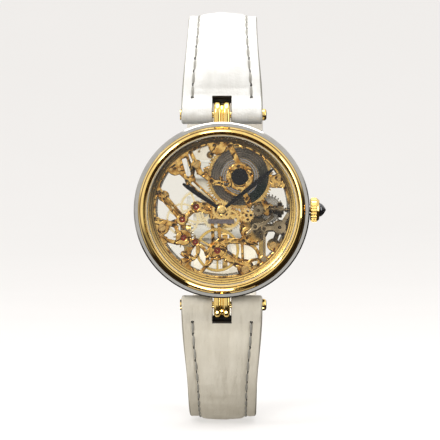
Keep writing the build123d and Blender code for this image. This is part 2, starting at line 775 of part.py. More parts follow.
DIAL_SCREWS = (
    (ARM_SCREW, 0.48), (BLOCK, 0.55), (LOWER_SCREW, 0.58), (LOWER_BOSS, 0.3),
    ((8.0, 3.75), 0.32), ((8.4, 4.55), 0.32), (RIGHT_BOSS, 0.5), ((4.85, -8.4), 0.3),
    ((-2.3, 5.95), 0.26), ((-9.05, -3.65), 0.24),
)
BACK_SCREWS = (
    (BARREL_FEET[0], BARREL_BRIDGE_BACK), (BARREL_FEET[1], BARREL_BRIDGE_BACK),
    (TRAIN_FEET[0], BRIDGE_BACK), (TRAIN_FEET[1], BRIDGE_BACK), (COCK_FOOT, BRIDGE_BACK),
)
TRIPLE_SCREWS = [polar(0.68, angle, TRIPLE_BOSS) for angle in (90, 210, 330)]

with BuildPart() as movement_screws:
    for at, radius in DIAL_SCREWS:
        disc(radius, PLATE_FRONT, PLATE_FRONT + 0.22, at)
        with BuildSketch(dial_plane(PLATE_FRONT + 0.1, at)):
            Rectangle(2 * radius + 0.1, radius * 0.26, rotation=35)
        extrude(amount=1, mode=Mode.SUBTRACT)
    for at in TRIPLE_SCREWS:
        disc(0.27, PLATE_FRONT, PLATE_FRONT + 0.16, at)
    for at, seat in BACK_SCREWS:
        disc(0.55, seat - 0.28, seat, at)
        with BuildSketch(dial_plane(seat - 0.3, at)):
            Rectangle(1.2, 0.16, rotation=20)
        extrude(amount=0.16, mode=Mode.SUBTRACT)
    disc(0.75, 1.14, 1.38, CROWN_WHEEL)
    disc(0.4, 1.28, 1.5, CLICK)
finish(movement_screws, "movement_screws")

with BuildPart() as name_plaque:
    with BuildSketch(dial_plane(4.85, (-0.1, -1.66))):
        RectangleRounded(3.8, 0.66, 0.12)
    extrude(amount=0.09)
    for post in ((-1.42, -1.7), (-0.42, -1.7)):
        disc(0.13, PLATE_FRONT, 4.85, post)
finish(name_plaque, "name_plaque")

with BuildPart() as movement_holder:
    disc(10.86, 1.25, PLATE_BACK, bore=10.66)
    stem_turned([(10, 0), (12, 0), (12, 0.55), (10, 0.55)], mode=Mode.SUBTRACT)
finish(movement_holder, "movement_holder")

# ---- going train ---------------------------------------------------------------------------
barrel_module = pitch_module(BARREL, CENTRE, BARREL_TEETH + CENTRE_LEAVES)
centre_module = pitch_module(CENTRE, THIRD, CENTRE_TEETH + THIRD_LEAVES)
third_module = pitch_module(THIRD, FOURTH, THIRD_TEETH + FOURTH_LEAVES)
fourth_module = pitch_module(FOURTH, ESCAPE, FOURTH_TEETH + ESCAPE_LEAVES)

with BuildPart() as barrel:
    with BuildSketch(dial_plane(3.1, BARREL)):
        toothed(BARREL_TEETH, barrel_module, bearing(BARREL, CENTRE))
        Circle(4.26, mode=Mode.SUBTRACT)
    extrude(amount=0.32)
    disc(4.5, 2.3, 3.1, BARREL, bore=4.26)
    disc(4.5, 2.2, 2.34, BARREL, bore=0.86)
finish(barrel, "barrel")

with BuildPart() as barrel_cover:
    disc(4.25, 3.28, 3.4, BARREL, bore=2.85)
    for groove in (3.15, 3.4, 3.65, 3.9):
        disc(groove + 0.07, 3.36, 3.6, BARREL, bore=groove - 0.05, mode=Mode.SUBTRACT)
finish(barrel_cover, "barrel_cover")

with BuildPart() as barrel_arbor:
    disc(1.17, 2.4, PLATE_FRONT + 0.1, BARREL)
    disc(0.8, 1.34, 2.4, BARREL)
    with BuildSketch(dial_plane(PLATE_FRONT - 0.1, BARREL)):
        Rectangle(0.5, 0.5)
    extrude(amount=1, mode=Mode.SUBTRACT)
finish(barrel_arbor, "barrel_arbor")


def spiral(inner_r, outer_r, turns, strip, at, back, front):
    """A flat spiral spring of even strip, wound in steps of an eighth of a turn."""
    steps = int(turns * 8)
    rise = (outer_r - inner_r) / steps
    with BuildSketch(dial_plane(back, at)) as coil:
        with BuildLine():
            inside = Spline([polar(inner_r + rise * n - strip / 2, 45 * n) for n in range(steps + 1)])
            outside = Spline([polar(inner_r + rise * n + strip / 2, 45 * n) for n in range(steps + 1)])
            Line(inside @ 0, outside @ 0)
            Line(inside @ 1, outside @ 1)
        make_face()
    extrude(coil.sketch, amount=front - back)


with BuildPart() as mainspring:
    spiral(1.32, 4.12, 9, 0.14, BARREL, 2.42, 3.22)
finish(mainspring, "mainspring")

with BuildPart() as centre_wheel:
    with BuildSketch(dial_plane(1.95, CENTRE)):
        toothed(CENTRE_TEETH, centre_module, bearing(CENTRE, THIRD))
        opened(2.8, 0.75, 4, 0.42, 45)
    extrude(amount=0.2)
    pinion(CENTRE_LEAVES, barrel_module, 2.6, 3.5, CENTRE, gap_phase(BARREL, CENTRE, CENTRE_LEAVES))
    disc(0.36, 1.9, 4.45, CENTRE)
    disc(0.12, 1.35, 1.95, CENTRE)
    disc(0.22, 4.45, 5.1, CENTRE)
finish(centre_wheel, "centre_wheel")

with BuildPart() as third_wheel:
    with BuildSketch(dial_plane(3.15, THIRD)):
        toothed(THIRD_TEETH, third_module, bearing(THIRD, FOURTH))
        opened(2.06, 0.5, 4, 0.3, 20)
    extrude(amount=0.18)
    pinion(THIRD_LEAVES, centre_module, 1.85, 2.4, THIRD, gap_phase(CENTRE, THIRD, THIRD_LEAVES))
    disc(ARBOR_R, 1.8, 3.55, THIRD)
    disc(PIVOT_R, 1.42, 4.1, THIRD)
finish(third_wheel, "third_wheel")

with BuildPart() as fourth_wheel:
    with BuildSketch(dial_plane(2.45, FOURTH)):
        toothed(FOURTH_TEETH, fourth_module, bearing(FOURTH, ESCAPE))
        opened(2.1, 0.45, 4, 0.26, 60)
    extrude(amount=0.16)
    pinion(FOURTH_LEAVES, third_module, 2.95, 3.5, FOURTH, gap_phase(THIRD, FOURTH, FOURTH_LEAVES))
    disc(ARBOR_R, 1.8, 3.55, FOURTH)
    disc(PIVOT_R, 1.42, 4.1, FOURTH)
finish(fourth_wheel, "fourth_wheel")

ESCAPE_ROOT_R = 1.22
with BuildPart() as escape_wheel:
    with BuildSketch(dial_plane(3.0, ESCAPE)):
        corners = []
        for tooth in range(ESCAPE_TEETH):
            at_angle = tooth * 360 / ESCAPE_TEETH
            corners += [
                polar(ESCAPE_ROOT_R, at_angle),
                polar(ESCAPE_R, at_angle + 8),
                polar(ESCAPE_R - 0.1, at_angle + 13),
                polar(ESCAPE_ROOT_R, at_angle + 12),
            ]
        with BuildLine():
            Polyline(corners, close=True)
        make_face()
        opened(1.0, 0.42, 4, 0.2, 0)
    extrude(amount=0.15)
    pinion(ESCAPE_LEAVES, fourth_module, 2.3, 2.85, ESCAPE, gap_phase(FOURTH, ESCAPE, ESCAPE_LEAVES))
    disc(ARBOR_R, 1.8, 3.55, ESCAPE)
    disc(PIVOT_R, 1.42, 4.1, ESCAPE)
finish(escape_wheel, "escape_wheel")

fork_heading = bearing(PALLET, BALANCE)
escape_heading = bearing(PALLET, ESCAPE)
FORK_REACH = math.dist(PALLET, BALANCE) - 0.62
entry_pallet = polar(0.92, escape_heading + 62, PALLET)
exit_pallet = polar(0.92, escape_heading - 62, PALLET)

with BuildPart() as pallet_fork:
    with BuildSketch(dial_plane(3.0)):
        discs([PALLET], 0.34)
        bar(PALLET, polar(FORK_REACH - 0.28, fork_heading, PALLET), 0.26)
        for pallet_end in (entry_pallet, exit_pallet):
            bar(PALLET, pallet_end, 0.28)
        for horn in (7, -7):
            bar(
                polar(FORK_REACH - 0.42, fork_heading, PALLET),
                polar(FORK_REACH + 0.1, fork_heading + horn, PALLET),
                0.16,
            )
    extrude(amount=0.14)
    disc(PIVOT_R, 2.14, 4.1, PALLET)
    for pallet_end, tilt in ((entry_pallet, 25), (exit_pallet, -25)):
        with BuildSketch(dial_plane(3.15, pallet_end)):
            Rectangle(0.42, 0.17, rotation=escape_heading + tilt)
        extrude(amount=0.12)
finish(pallet_fork, "pallet_fork")

with BuildPart() as balance_wheel:
    with BuildSketch(dial_plane(2.52, BALANCE)):
        Circle(BALANCE_R)
        Circle(BALANCE_R - 0.42, mode=Mode.SUBTRACT)
        Circle(0.5)
        with PolarLocations((BALANCE_R - 0.2) / 2, 3, start_angle=30):
            Rectangle(BALANCE_R - 0.3, 0.3)
    extrude(amount=0.3)
    disc(0.16, 1.9, 3.5, BALANCE)
    disc(0.42, 3.26, 3.38, BALANCE)
    disc(PIVOT_R, 1.44, 4.12, BALANCE)
    disc(0.34, 2.02, 2.3, BALANCE)
finish(balance_wheel, "balance_wheel")

with BuildPart() as hairspring:
    spiral(0.52, 2.1, 8, 0.06, BALANCE, 2.08, 2.24)
finish(hairspring, "hairspring")

with BuildPart() as regulator:
    with BuildSketch(dial_plane(1.08, BALANCE)):
        Circle(0.72)
        bar((0, 0), polar(2.5, 150), 0.3)
        bar((0, 0), polar(1.9, -40), 0.4)
        Circle(0.46, mode=Mode.SUBTRACT)
    extrude(amount=0.1)
finish(regulator, "regulator")

# ---- winding wheels, seen through the back ---------------------------------------------------
ratchet_module = pitch_module(BARREL, CROWN_WHEEL, RATCHET_TEETH + CROWN_WHEEL_TEETH)

with BuildPart() as ratchet_wheel:
    with BuildSketch(dial_plane(1.4, BARREL)):
        toothed(RATCHET_TEETH, ratchet_module, bearing(BARREL, CROWN_WHEEL))
        Circle(0.8, mode=Mode.SUBTRACT)
        with PolarLocations(2.5, 6):
            Circle(0.85, mode=Mode.SUBTRACT)
    extrude(amount=0.24)
finish(ratchet_wheel, "ratchet_wheel")

with BuildPart() as crown_wheel:
    with BuildSketch(dial_plane(1.4, CROWN_WHEEL)):
        toothed(
            CROWN_WHEEL_TEETH, ratchet_module, gap_phase(BARREL, CROWN_WHEEL, CROWN_WHEEL_TEETH)
        )
        Circle(0.46, mode=Mode.SUBTRACT)
    extrude(amount=0.22)
    with BuildSketch(dial_plane(1.62, CROWN_WHEEL)):
        with PolarLocations(2.05, CROWN_WHEEL_TEETH, start_angle=180 / CROWN_WHEEL_TEETH):
            Rectangle(0.34, 0.16)
    extrude(amount=0.13)
finish(crown_wheel, "crown_wheel")

CLICK_TIP = polar(ratchet_module * (RATCHET_TEETH / 2 + 0.1), bearing(BARREL, CLICK) + 9, BARREL)
with BuildPart() as click:
    with BuildSketch(dial_plane(1.5)):
        discs([CLICK], 0.55)
        bar(CLICK, polar(0.3, bearing(BARREL, CLICK), CLICK_TIP), 0.3)
        discs([CLICK], 0.22, mode=Mode.SUBTRACT)
    extrude(amount=0.2)
finish(click, "click")

with BuildPart() as click_spring:
    with BuildSketch(dial_plane(1.55)):
        scroll((-3.4, 8.6), (-2.9, 9.4), (-1.2, 9.9), 0.12)
        discs([(-3.4, 8.6)], 0.2)
    extrude(amount=0.2)
    with BuildSketch(dial_plane(1.55)):
        discs([(-1.2, 9.9)], 0.2)
    extrude(amount=0.25)
finish(click_spring, "click_spring")

# ---- motion works and hands ------------------------------------------------------------------
motion_module = pitch_module(CENTRE, MINUTE, CANNON_TEETH + MINUTE_TEETH)

with BuildPart() as cannon_pinion:
    pinion(CANNON_TEETH, motion_module, 4.46, 4.62, CENTRE, gap_phase(MINUTE, CENTRE, CANNON_TEETH))
    disc(0.34, 4.62, 5.26, CENTRE)
    disc(0.22, 4.4, 5.1, CENTRE, mode=Mode.SUBTRACT)
finish(cannon_pinion, "cannon_pinion")

MINUTE_OPEN_R = motion_module * MINUTE_TEETH / 2 - 0.36
HOUR_OPEN_R = motion_module * HOUR_TEETH / 2 - 0.36

with BuildPart() as minute_wheel:
    with BuildSketch(dial_plane(4.36, MINUTE)):
        toothed(MINUTE_TEETH, motion_module, bearing(MINUTE, SETTING))
        opened(MINUTE_OPEN_R, 0.62, 4, 0.24, 20)
    extrude(amount=0.2)
    pinion(MINUTE_LEAVES, motion_module, 4.56, 4.82, MINUTE, gap_phase(CENTRE, MINUTE, MINUTE_LEAVES))
    disc(0.22, 4.3, 5.0, MINUTE, mode=Mode.SUBTRACT)
finish(minute_wheel, "minute_wheel")

with BuildPart() as hour_wheel:
    with BuildSketch(dial_plane(4.66, CENTRE)):
        toothed(HOUR_TEETH, motion_module, bearing(CENTRE, MINUTE))
        opened(HOUR_OPEN_R, 0.62, 5, 0.22, 10)
    extrude(amount=0.14)
    disc(0.52, 4.8, 4.98, CENTRE)
    disc(0.37, 4.5, 5.2, CENTRE, mode=Mode.SUBTRACT)
finish(hour_wheel, "hour_wheel")


def hand(length, width, hub_r, height, angle, bore):
    """A slim baton hand with a blunt tip, widest past its middle, on a round hub."""
    with BuildSketch(dial_plane(height)) as blade:
        shape = ((0, 0.6), (0.6, 1.0), (0.88, 0.84), (0.98, 0.56), (1.0, 0.3))
        corners = []
        for out, share in shape:
            corners.append(polar(width * share / 2, angle + 90, polar(length * out, angle)))
        for out, share in reversed(shape):
            corners.append(polar(width * share / 2, angle - 90, polar(length * out, angle)))
        with BuildLine():
            Polyline(corners, close=True)
        make_face()
        Circle(hub_r)
        Circle(bore, mode=Mode.SUBTRACT)
    extrude(blade.sketch, amount=0.1)


with BuildPart() as hour_hand:
    hand(HOUR_LENGTH, 0.74, 0.66, 4.98, HOUR_ANGLE, 0.37)
finish(hour_hand, "hour_hand")

with BuildPart() as minute_hand:
    hand(MINUTE_LENGTH, 0.64, 0.6, 5.16, MINUTE_ANGLE, 0.34)
finish(minute_hand, "minute_hand")

with BuildPart() as hand_cap:
    turned([(0, 5.26), (0.72, 5.26), (0.72, 5.31), (0.62, 5.38), (0.3, 5.42), (0, 5.43)])
finish(hand_cap, "hand_cap")

# ---- strap -----------------------------------------------------------------------------------
LEAN = 78
ROUTE_12 = [(4.5, 0), (12.3, -78), (35.0, -40)]
ROUTE_12_BACK = [(14.4, -50), (9.0 - BUCKLE_BAR[1], 0)]
ROUTE_6 = [(4.5, 0), (16.2, 78), (27.6, 40), (14.15, 50), (1.0, 0)]
ROUTE_6_TAIL = [(2.0, 0), (4.54, -50.5), (4.54, 50.5), (13.0, 0), (16.67, 26)]


def route_end(start, heading, route):
    """Where a route of (length, 0) runs and (radius, turn) arcs ends, and its heading there."""
    y, z = start
    for size, turn in route:
        if turn:
            side = math.copysign(1, turn)
            middle = polar(size, heading + 90 * side, (y, z))
            heading += turn
            y, z = polar(-size, heading + 90 * side, middle)
        else:
            y, z = polar(size, heading, (y, z))
    return (y, z), heading


def strap_side(start, heading, route, inner, outer):
    """The outline of a strap's side view along a route, between two offsets to its left."""
    ends = []
    for offset in (inner, outer):
        aim = heading
        point = polar(offset, aim + 90, start)
        first = point
        for size, turn in route:
            if turn:
                radius = size - math.copysign(1, turn) * offset
                edge = JernArc(start=point, tangent=polar(1, aim), radius=radius, arc_size=turn)
                aim += turn
            else:
                edge = Line(point, polar(size, aim, point))
            point = (edge @ 1).X, (edge @ 1).Y
        ends.append((first, point))
    Line(ends[0][0], ends[1][0])
    Line(ends[0][1], ends[1][1])


def strap_face(start, heading, route, inner, outer):
    """The face of a strap's side view."""
    with BuildLine() as outline:
        strap_side(start, heading, route, inner, outer)
    make_face(outline.line)


def taper(side):
    """Narrows the strap from its lug width to its tail width."""
    for hand_side in LUG_SIDES:
        with BuildSketch(Plane.XZ.offset(20)) as wedge:
            with BuildLine():
                Polyline(
                    (hand_side * STRAP_WIDTH / 2, side * 15.5),
                    (hand_side * 5.1, side * 28.0),
                    (hand_side * 5.0, side * 34.0),
                    (hand_side * 8.0, side * 34.0),
                    (hand_side * 8.0, side * 15.5),
                    close=True,
                )
            make_face()
        extrude(wedge.sketch, amount=-80, mode=Mode.SUBTRACT)
        with Locations((hand_side * (STRAP_TAIL_WIDTH / 2 + 2), 30, 0)):
            Box(4, 34, 80, mode=Mode.SUBTRACT)


start_12 = (-BAR_HEIGHT, BAR_REACH)
start_6 = (-BAR_HEIGHT, -BAR_REACH)
back_12, back_12_heading = route_end(start_12, LEAN, ROUTE_12)
tail_6, tail_6_heading = route_end(start_6, -LEAN, ROUTE_6)
print("strap 12 o'clock half reaches", route_end(back_12, back_12_heading, ROUTE_12_BACK))
print("strap 6 o'clock half reaches", route_end(tail_6, tail_6_heading, ROUTE_6_TAIL))

with BuildPart() as strap_12:
    with BuildSketch(Plane.YZ):
        strap_face(start_12, LEAN, ROUTE_12, LINING - LEATHER / 2, LEATHER / 2)
        strap_face(
            back_12, back_12_heading, ROUTE_12_BACK, LINING - LEATHER / 2, LEATHER_BACK / 2
        )
        discs([start_12], STRAP_ROLL_R)
        discs([BUCKLE_BAR], BUCKLE_ROLL_R)
        discs([start_12], BAR_R, mode=Mode.SUBTRACT)
        discs([BUCKLE_BAR], BUCKLE_BAR_R, mode=Mode.SUBTRACT)
    extrude(amount=STRAP_WIDTH / 2, both=True)
    taper(1)
    with Locations((0, 0, 14.0)):
        Box(STRAP_NOTCH, 10, 5, mode=Mode.SUBTRACT)
    with Locations((0, 39, -4.3)):
        Box(2.2, 8, 3.4, mode=Mode.SUBTRACT)
finish(strap_12, "strap_12")

with BuildPart() as strap_12_lining:
    with BuildSketch(Plane.YZ):
        strap_face(start_12, LEAN, ROUTE_12, -LEATHER / 2, LINING - LEATHER / 2)
        strap_face(back_12, back_12_heading, ROUTE_12_BACK, -LEATHER_BACK / 2, LINING - LEATHER / 2)
        discs([start_12], STRAP_ROLL_R, mode=Mode.SUBTRACT)
        discs([BUCKLE_BAR], BUCKLE_ROLL_R, mode=Mode.SUBTRACT)
    extrude(amount=STRAP_WIDTH / 2, both=True)
    taper(1)
    with Locations((0, 0, 14.0)):
        Box(STRAP_NOTCH, 10, 5, mode=Mode.SUBTRACT)
    with Locations((0, 39, -4.3)):
        Box(2.2, 8, 3.4, mode=Mode.SUBTRACT)
finish(strap_12_lining, "strap_12_lining")

TANG_HOLES = (-1.2, 3.0, 7.2)

with BuildPart() as strap_6:
    with BuildSketch(Plane.YZ):
        strap_face(start_6, -LEAN, ROUTE_6, -LEATHER / 2, LEATHER / 2 - LINING)
        strap_face(tail_6, tail_6_heading, ROUTE_6_TAIL, -LEATHER_TAIL / 2, 0)
        discs([start_6], STRAP_ROLL_R)
        discs([start_6], BAR_R, mode=Mode.SUBTRACT)
    extrude(amount=STRAP_WIDTH / 2, both=True)
    taper(-1)
    with Locations((0, 0, -14.0)):
        Box(STRAP_NOTCH, 10, 5, mode=Mode.SUBTRACT)
    with Locations((0, 38, -7.5)):
        Box(1.3, 9, 6.6, mode=Mode.SUBTRACT)
    for height in TANG_HOLES:
        with Locations((0, 40, height)):
            Cylinder(0.55, 8, rotation=(90, 0, 0), mode=Mode.SUBTRACT)
finish(strap_6, "strap_6")

with BuildPart() as strap_6_lining:
    with BuildSketch(Plane.YZ):
        strap_face(start_6, -LEAN, ROUTE_6, LEATHER / 2 - LINING, LEATHER / 2)
        strap_face(tail_6, tail_6_heading, ROUTE_6_TAIL, 0, LEATHER_TAIL / 2)
        discs([start_6], STRAP_ROLL_R, mode=Mode.SUBTRACT)
    extrude(amount=STRAP_WIDTH / 2, both=True)
    taper(-1)
    with Locations((0, 0, -14.0)):
        Box(STRAP_NOTCH, 10, 5, mode=Mode.SUBTRACT)
    with Locations((0, 38, -7.5)):
        Box(1.3, 9, 6.6, mode=Mode.SUBTRACT)
    for height in TANG_HOLES:
        with Locations((0, 40, height)):
            Cylinder(0.55, 8, rotation=(90, 0, 0), mode=Mode.SUBTRACT)
finish(strap_6_lining, "strap_6_lining")

# ---- keepers and buckle ----------------------------------------------------------------------
TANG_ROOT = (38.45, -5.4)
TANG_TIP = (BUCKLE_END[0] + 0.92, BUCKLE_END[1] - 0.75)
TANG_WIDTH = 0.72
KEEPER_INNER = (10.5, 4.7)
KEEPER_WALL = 0.8
KEEPER_MIDDLE = 39.06
KEEPERS = (("fixed_keeper", -1.8, 3.0), ("free_keeper", 3.7, 3.0))

for keeper_name, low, width in KEEPERS:
    with BuildPart() as keeper:
        with BuildSketch(Plane.XY.offset(low)):
            with Locations((0, KEEPER_MIDDLE)):
                RectangleRounded(
                    KEEPER_INNER[0] + 2 * KEEPER_WALL, KEEPER_INNER[1] + 2 * KEEPER_WALL, 1.0
                )
                RectangleRounded(*KEEPER_INNER, 0.35, mode=Mode.SUBTRACT)
        extrude(amount=width)
    finish(keeper, keeper_name)

with BuildPart() as buckle_bar:
    with BuildSketch(Plane.YZ):
        discs([BUCKLE_BAR], BUCKLE_BAR_R)
    extrude(amount=6.3, both=True)
finish(buckle_bar, "buckle_bar")

with BuildPart() as buckle_frame:
    for side in LUG_SIDES:
        with BuildSketch(Plane.YZ.offset(side * 5.95)):
            bar(BUCKLE_BAR, BUCKLE_END, 1.7)
            discs([BUCKLE_BAR], 1.0)
            discs([BUCKLE_BAR], BUCKLE_BAR_R + 0.04, mode=Mode.SUBTRACT)
        extrude(amount=0.55, both=True)
    with BuildSketch(Plane.YZ):
        discs([BUCKLE_END], 0.85)
    extrude(amount=6.5, both=True)
    with BuildSketch(Plane.YZ):
        bar(TANG_ROOT, TANG_TIP, TANG_WIDTH + 0.14)
    extrude(amount=0.52, both=True, mode=Mode.SUBTRACT)
finish(buckle_frame, "buckle_frame")

with BuildPart() as buckle_tang:
    with BuildSketch(Plane.YZ):
        discs([BUCKLE_BAR], 0.98)
        bar(TANG_ROOT, TANG_TIP, TANG_WIDTH)
        discs([BUCKLE_BAR], BUCKLE_BAR_R + 0.04, mode=Mode.SUBTRACT)
    extrude(amount=0.42, both=True)
finish(buckle_tang, "buckle_tang")
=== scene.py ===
import math

import bmesh
import bpy
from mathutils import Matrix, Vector, noise


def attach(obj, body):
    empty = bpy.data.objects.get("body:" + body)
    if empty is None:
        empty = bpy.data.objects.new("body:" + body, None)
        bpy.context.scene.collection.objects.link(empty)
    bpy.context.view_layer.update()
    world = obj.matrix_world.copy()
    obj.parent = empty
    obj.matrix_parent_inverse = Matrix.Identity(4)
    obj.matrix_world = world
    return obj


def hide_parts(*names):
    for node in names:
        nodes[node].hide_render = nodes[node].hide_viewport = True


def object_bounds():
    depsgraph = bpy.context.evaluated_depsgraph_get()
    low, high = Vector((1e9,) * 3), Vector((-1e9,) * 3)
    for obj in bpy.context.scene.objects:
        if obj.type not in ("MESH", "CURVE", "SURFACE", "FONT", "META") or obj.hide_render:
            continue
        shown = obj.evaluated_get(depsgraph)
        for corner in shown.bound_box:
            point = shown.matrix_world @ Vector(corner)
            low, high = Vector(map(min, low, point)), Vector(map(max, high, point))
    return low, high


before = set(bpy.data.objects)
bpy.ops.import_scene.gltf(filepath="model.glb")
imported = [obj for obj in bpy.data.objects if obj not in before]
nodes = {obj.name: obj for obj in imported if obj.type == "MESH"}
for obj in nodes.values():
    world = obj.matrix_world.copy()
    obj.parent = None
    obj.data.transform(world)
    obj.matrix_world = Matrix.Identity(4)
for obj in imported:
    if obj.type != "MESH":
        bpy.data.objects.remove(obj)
cad_low, cad_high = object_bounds()

# The dial faces -Y, 12 o'clock is +Z and the crown is +X. Sizes below are in millimetres.
MM = 0.001
BAR_REACH = 14.07
BAR_HEIGHT = 2.6
STRAP_HALF = 6.0
TAIL_HALF = 5.0
NOTCH_HALF = 1.35
NOTCH_END = 2.48
ROLL_R = 1.4
BUCKLE_ROLL_R = 1.2
# the strap's centre line leaves its bar LEAN degrees up or down from the back, and then runs
# along these legs: (length, 0) for a straight one, (radius, turn in degrees) for an arc
LEAN = 78.0
ROUTE_12 = [(4.5, 0), (12.3, -78), (35.0, -40), (14.4, -50), (13.6, 0)]
ROUTE_6 = [
    (4.5, 0), (16.2, 78), (27.6, 40), (14.15, 50), (1.0, 0),
    (2.0, 0), (4.54, -50.5), (4.54, 50.5), (13.0, 0), (16.67, 26),
]
STITCH_INSET = 1.6
STITCH_PITCH = 2.0


# ---- materials -----------------------------------------------------------------------------
class Surface:
    """A Principled material with the node tree that drives it."""

    def __init__(self, name, metallic=0.0, rough=0.4):
        self.mat = bpy.data.materials.new(name)
        self.mat.use_nodes = True
        self.tree = self.mat.node_tree
        self.shader = self.tree.nodes["Principled BSDF"]
        self.put("Metallic", metallic)
        self.put("Roughness", rough)
        self.place = self.add("ShaderNodeTexCoord").outputs["Object"]

    def add(self, kind, **values):
        node = self.tree.nodes.new(kind)
        for key, value in values.items():
            if hasattr(node, key):
                setattr(node, key, value)
            else:
                node.inputs[key.replace("_", " ")].default_value = value
        return node

    def join(self, out, node, name):
        self.tree.links.new(out, node.inputs[name])

    def put(self, name, value):
        self.shader.inputs[name].default_value = value

    def scaled(self, size):
        """The place in units of size millimetres; size may differ along each axis."""
        if not isinstance(size, tuple):
            size = (size, size, size)
        node = self.add("ShaderNodeMapping")
        node.inputs["Scale"].default_value = [1 / (MM * s) for s in size]
        self.join(self.place, node, "Vector")
        return node.outputs[0]

    def noise(self, size, detail=3.0, rough=0.5):
        node = self.add("ShaderNodeTexNoise", Detail=detail, Roughness=rough, Scale=1.0)
        self.join(self.scaled(size), node, "Vector")
        return node.outputs["Fac"]

    def cells(self, size):
        node = self.add("ShaderNodeTexVoronoi", Scale=1.0)
        self.join(self.scaled(size), node, "Vector")
        return node.outputs["Distance"]

    def ramp(self, value, stops):
        node = self.add("ShaderNodeValToRGB")
        ramp = node.color_ramp
        while len(ramp.elements) < len(stops):
            ramp.elements.new(0.5)
        for element, (at, colour) in zip(ramp.elements, stops):
            element.position = at
            element.color = (*colour, 1) if isinstance(colour, tuple) else (colour,) * 3 + (1,)
        self.join(value, node, "Fac")
        return node.outputs["Color"]

    def mix(self, fac, one, other):
        node = self.add("ShaderNodeMix", data_type="RGBA")
        for index, value in ((6, one), (7, other)):
            if isinstance(value, tuple):
                node.inputs[index].default_value = (*value, 1)
            else:
                self.tree.links.new(value, node.inputs[index])
        if isinstance(fac, float):
            node.inputs[0].default_value = fac
        else:
            self.tree.links.new(fac, node.inputs[0])
        return node.outputs[2]

    def math(self, kind, one, other=0.0):
        node = self.add("ShaderNodeMath", operation=kind)
        for index, value in enumerate((one, other)):
            if isinstance(value, (int, float)):
                node.inputs[index].default_value = value
            else:
                self.tree.links.new(value, node.inputs[index])
        return node.outputs[0]

    def span(self, value, low, high):
        """Value from 0..1 to low..high."""
        node = self.add("ShaderNodeMapRange")
        node.inputs["To Min"].default_value = low
        node.inputs["To Max"].default_value = high
        self.join(value, node, "Value")
        return node.outputs[0]

    def bump(self, value, height, strength=1.0, under=None):
        node = self.add("ShaderNodeBump", Strength=strength, Distance=height * MM)
        self.join(value, node, "Height")
        if under is not None:
            self.join(under, node, "Normal")
        return node.outputs[0]

    def colour(self, out):
        self.join(out, self.shader, "Base Color")

    def rough(self, out):
        self.join(out, self.shader, "Roughness")

    def normal(self, out):
        self.join(out, self.shader, "Normal")

    def axes(self):
        """The place's x, y and z in millimetres."""
        node = self.add("ShaderNodeSeparateXYZ")
        self.join(self.scaled(1.0), node, 0)
        return node.outputs

    def radius(self, centre):
        """Distance in millimetres from an axis along Y through a point of the dial."""
        move = self.add("ShaderNodeVectorMath", operation="SUBTRACT")
        move.inputs[1].default_value = (centre[0] * MM, 0, centre[1] * MM)
        self.join(self.place, move, 0)
        flat = self.add("ShaderNodeVectorMath", operation="MULTIPLY")
        flat.inputs[1].default_value = (1 / MM, 0, 1 / MM)
        self.join(move.outputs[0], flat, 0)
        length = self.add("ShaderNodeVectorMath", operation="LENGTH")
        self.join(flat.outputs[0], length, 0)
        return length.outputs["Value"]


def metal(
    name, light, dark, rough=(0.1, 0.2), grain=0.6, relief=0.0, size=0.3, rings=None, lines=(),
    shade_patch=None,
):
    """A metal whose colour and gloss wander a little, with optional relief, turned rings, thin
    lines of painted shade round the dial at given radii, or a patch of painted shade given as
    (centre, reach, colour)."""
    s = Surface(name, metallic=1.0)
    tint = s.mix(s.noise(grain), dark, light)
    # painted shade: a patch darkened towards its colour near the centre
    if shade_patch:
        centre, reach, colour = shade_patch
        near = s.ramp(s.math("DIVIDE", s.radius(centre), reach), [(0.2, 1.0), (1.0, 0.0)])
        tint = s.mix(near, tint, colour)
    # painted shade: thin dark lines round the dial at the given radii
    for radius, width in lines:
        gap = s.math("ABSOLUTE", s.math("SUBTRACT", s.radius((0, 0)), radius))
        near = s.ramp(s.math("DIVIDE", gap, width), [(0.4, 1.0), (1.0, 0.0)])
        tint = s.mix(near, tint, (0.16, 0.07, 0.02))
    s.colour(tint)
    s.rough(s.span(s.noise(grain * 0.37, detail=5.0), *rough))
    under = None
    if rings:
        centre, pitch, depth = rings
        wave = s.math("SINE", s.math("MULTIPLY", s.radius(centre), 2 * math.pi / pitch))
        under = s.bump(wave, depth)
        s.normal(under)
    if relief:
        s.normal(s.bump(s.noise(size, detail=6.0, rough=0.6), relief, under=under))
    return s.mat


def engraved(name, light, dark, groove_shade, works=None):
    """A plate metal with curling engraved lines and a punched ground between them, both
    darkened with painted shade.
    """
    s = Surface(name, metallic=1.0)
    curl = s.noise(SCROLL_SIZE, detail=1.0)
    wave = s.math("ABSOLUTE", s.math("SINE", s.math("MULTIPLY", curl, SCROLL_LINES * math.pi)))
    groove = s.ramp(wave, [(0.20, 0.0), (0.52, 1.0)])
    punch = s.cells(0.75)
    ground = s.ramp(punch, [(0.18, 0.0), (0.50, 1.0)])
    region = s.ramp(s.noise(1.9, detail=2.0), [(0.46, 0.0), (0.54, 1.0)])
    worked = s.mix(region, ground, groove)
    tone = s.ramp(s.noise(1.1, detail=4.0), [(0.40, 0.0), (0.60, 1.0)])
    # painted shade: the grooves and the punched ground take the dark groove colour
    tint = s.mix(worked, groove_shade, s.mix(tone, dark, light))
    if works:
        # painted shade: the ground under the keyless works is darkened
        works_shade = s.mix(s.noise(0.4), (0.015, 0.012, 0.009), (0.16, 0.115, 0.06))
        reach = s.ramp(s.math("DIVIDE", s.radius(works), WORKS_R), [(0.62, 1.0), (0.80, 0.0)])
        tint = s.mix(reach, tint, works_shade)
    s.colour(tint)
    s.rough(s.span(s.noise(0.3, detail=5.0), 0.12, 0.28))
    s.normal(s.bump(s.noise(0.12, detail=4.0), 0.01, 0.5, under=s.bump(worked, 0.07, 1.0)))
    return s.mat


